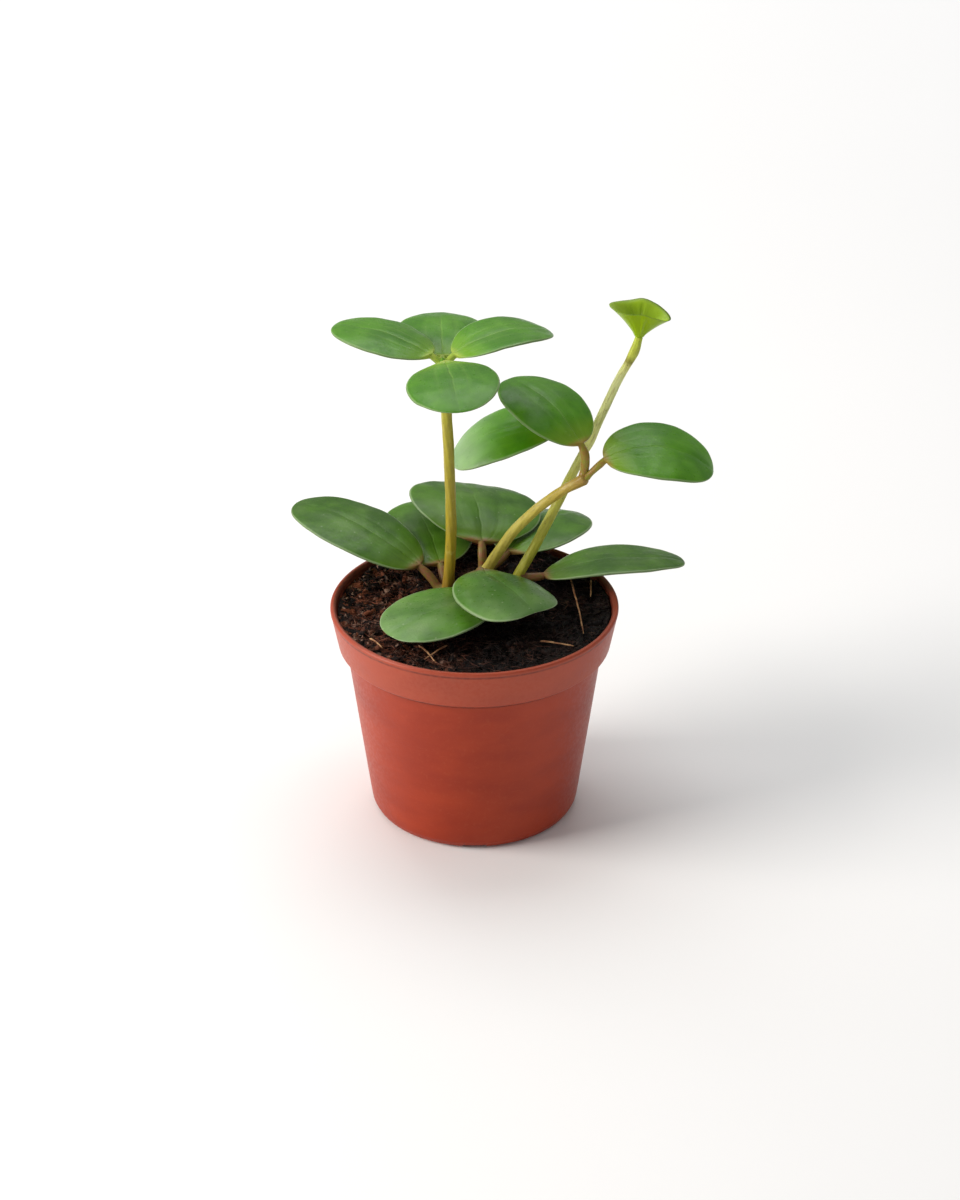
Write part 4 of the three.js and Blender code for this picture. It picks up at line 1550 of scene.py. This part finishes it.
@dataclass
class Studio:
    """The floor, the light and the camera. Metres and degrees."""

    target: tuple[float, float, float] = (1.15 * MM, 0.0, 47.6 * MM)
    distance: float = 0.623
    elevation: float = 28.6
    lens: float = 90.0
    sensor_width: float = 36.0
    clip: tuple[float, float] = (0.01, 50.0)
    floor_radius: float = 6.0
    fill: float = 0.33
    backdrop: float = 1.0
    lamps: tuple[Lamp, ...] = (
        Lamp("key", 8.0, 0.5, (-0.78, -0.16, 0.46), "#fffaf4"),
        Lamp("top", 4.2, 0.7, (-0.05, 0.4, 0.8), "#ffffff"),
    )

    def _camera(self) -> None:
        """Puts the camera at its viewing angle."""
        data = bpy.data.cameras.new("camera")
        data.lens = self.lens
        data.sensor_width = self.sensor_width
        data.clip_start, data.clip_end = self.clip
        camera = bpy.data.objects.new("camera", data)
        bpy.context.scene.collection.objects.link(camera)
        tilt = math.radians(self.elevation)
        away = Vector((0, -math.cos(tilt), math.sin(tilt))) * self.distance
        camera.location = Vector(self.target) + away
        camera.rotation_euler = (math.pi / 2 - tilt, 0, 0)
        bpy.context.scene.camera = camera

    def _hang(self, lamp: Lamp) -> None:
        """Hangs a lamp so that it faces the plant."""
        data = bpy.data.lights.new(lamp.name, "AREA")
        data.energy, data.size, data.color = lamp.power, lamp.size, linear(lamp.colour)[:3]
        light = bpy.data.objects.new(lamp.name, data)
        bpy.context.scene.collection.objects.link(light)
        light.location = lamp.where
        light.rotation_euler = (Vector(self.target) - Vector(lamp.where)).to_track_quat("-Z", "Y").to_euler()

    def _floor(self) -> None:
        """Lays a wide pale floor under the pot."""
        paint = Paint("matt_white_board")
        cloud = paint.grain(0.2, detail=2)
        colour = paint.blend(cloud, "#f5f5f5", "#f8f8f8")
        # Far out the board glows faintly, as a lit backdrop would, so that the lamps' shadow side stays pale.
        far = paint.node("ShaderNodeVectorMath", {0: paint.place}, operation="LENGTH").outputs["Value"]
        board = paint.finish(
            Base_Color=colour,
            Roughness=0.9,
            IOR=1.45,
            Emission_Color=linear("#ffffff"),
            Emission_Strength=paint.spread(far, 0.25, 1.3, 0, 0.58),
        )
        work = bmesh.new()
        bmesh.ops.create_circle(work, cap_ends=True, segments=96, radius=self.floor_radius)
        mesh = bpy.data.meshes.new("floor")
        work.to_mesh(mesh)
        work.free()
        mesh.materials.append(board)
        floor = bpy.data.objects.new("floor", mesh)
        bpy.context.scene.collection.objects.link(floor)

    def build(self) -> None:
        """Sets up the whole studio."""
        self._camera()
        self._floor()
        world = bpy.data.worlds.new("studio")
        bpy.context.scene.world = world
        world.use_nodes = True
        tree = world.node_tree
        tree.nodes.clear()
        sees = add_node(tree, "ShaderNodeLightPath").outputs["Is Camera Ray"]
        levels = {"Value": sees, "To Min": self.fill, "To Max": self.backdrop}
        strength = add_node(tree, "ShaderNodeMapRange", levels).outputs[0]
        sky = add_node(tree, "ShaderNodeBackground", {"Color": (1, 1, 1, 1), "Strength": strength})
        add_node(tree, "ShaderNodeOutputWorld", {"Surface": sky.outputs[0]})
        for lamp in self.lamps:
            self._hang(lamp)
        bpy.context.scene.view_settings.view_transform = "Standard"


# ---------------------------------------------------------------- the plant


@dataclass
class Plant:
    """The stems, the leaves and the strands, each with its own finish."""

    young: LeafSkin = LeafSkin(
        body="#528b17", deep="#3f760e", base="#74a024", bloom=0.08, veins=0.4, petiole="#a3b54a",
    )
    middle: LeafSkin = LeafSkin(petiole="#9a7636", bloom=0.05, veins=0.25)
    # mid_leaf_left's skin, with a painted highlight: a broad milky sheen on its outer half.
    wax_with_painted_sheen: LeafSkin = LeafSkin(petiole="#9a7636", bloom=0.05, veins=0.2, painted_sheen_share=0.42)
    old: LeafSkin = LeafSkin(
        body="#4a7614", deep="#345c0c", base="#5c7c18", vein="#7b9c46", rim="#9ab084", under="#6c8546",
        petiole="#855638", bloom=0.14, veins=0.12, roughness=0.36,
    )
    # The front pair is painted paler, with more bloom and a milky sheen: partly the leaves' own colour and
    # partly painted highlight.
    front: LeafSkin = LeafSkin(
        body="#558624", deep="#3e6c16", base="#5c8426", vein="#84a854", rim="#a2b88c", under="#6c8546",
        petiole="#855638", bloom=0.24, painted_sheen_share=0.12, veins=0.15, roughness=0.32,
    )
    bud: LeafSkin = LeafSkin(
        body="#9cba2e", deep="#8cac14", base="#a4b82c", vein="#c6d66a", rim="#78922e", under="#90ae10",
        petiole="#9ab028", bloom=0.0, veins=0.5, roughness=0.4,
    )

    # Bulges and dents of the two front leaves: heading from the blade's middle in degrees, and how far out.
    corners: dict[str, tuple[tuple[float, float], ...]] = field(default_factory=lambda: {
        "base_leaf_front": ((-98, 3.2 * MM), (-50, -2.0 * MM), (-13, 1.4 * MM)),
        "base_leaf_front_left": ((-112, 1.8 * MM), (-60, -0.6 * MM)),
    })

    def _stems(self) -> np.ndarray:
        """Makes the three stems.

        Returns:
            Points close together along the stems' middles.
        """
        shades = {
            "stem_left": (
                (0.0, "#6b4a24"), (0.18, "#8d6a22"), (0.3, "#a48c1c"), (0.75, "#a49a22"), (1.0, "#a0a62e"),
            ),
            "stem_middle": (
                (0.0, "#6b4a24"), (0.2, "#bcae48"), (0.6, "#c8ba52"), (0.85, "#b8a03e"), (1.0, "#a07c3c"),
            ),
            "stem_right": (
                (0.0, "#6b5a24"), (0.2, "#b0b036"), (0.5, "#bebe48"), (0.62, "#dcde86"), (0.84, "#eaeca4"),
                (0.885, "#dcdc80"), (0.9, "#8f8a34"), (0.92, "#bcc444"), (1.0, "#a8bc2c"),
            ),
        }
        middles = []
        for index, (node, stops) in enumerate(shades.items()):
            stem = Stem(node, StemSkin(stops), shift=3.0 + index)
            middles.append(stem.middles())
            stem.build()
        return np.concatenate(middles)

    def build(self) -> None:
        """Makes every piece of the plant."""
        middles = self._stems()
        for index, node in enumerate(sorted(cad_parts)):
            shift = 1.37 * index
            if node.startswith("base_leaf"):
                skin = self.front if "front" in node else self.old
                corners = self.corners.get(node, ())
                Leaf(node, skin, Slot.OLD_LEAF, shift, middles, stalk_swell=1.3, corners=corners).build()
            elif node.startswith("mid_leaf"):
                swell = 1.35 if node.endswith("upper") else 1.1
                direct = node.endswith("right")
                skin = self.wax_with_painted_sheen if node.endswith("left") else self.middle
                Leaf(node, skin, Slot.YOUNG_LEAF, shift, middles, stalk_swell=swell, direct=direct).build()
            elif node.startswith("crown_leaf"):
                Leaf(node, self.young, Slot.YOUNG_LEAF, shift, middles, direct=True).build()
        tips = {
            node: RingFit(node, Stem.points_around).swings()[-1, 0] for node in ("stem_left", "stem_right")
        }
        buds = sorted(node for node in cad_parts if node.startswith("bud_leaf"))
        BudCup(buds, self.bud, tips["stem_right"], shift=4.4).build()
        GrowingTip(self.young, tips["stem_left"]).build()
        coir = CoirFibre().material("coir_strand")
        strands = sorted(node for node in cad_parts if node.startswith("coir_strand"))
        for index, node in enumerate(strands):
            Strand(node, coir, shift=2.1 * index).build()


def main() -> None:
    """Builds the studio, the pot, the mix and the plant."""
    logging.basicConfig(level=logging.INFO, format="%(name)s: %(message)s")
    Studio().build()
    Pot().build()
    PottingMix().build()
    Plant().build()


if __name__ == "__main__":
    main()
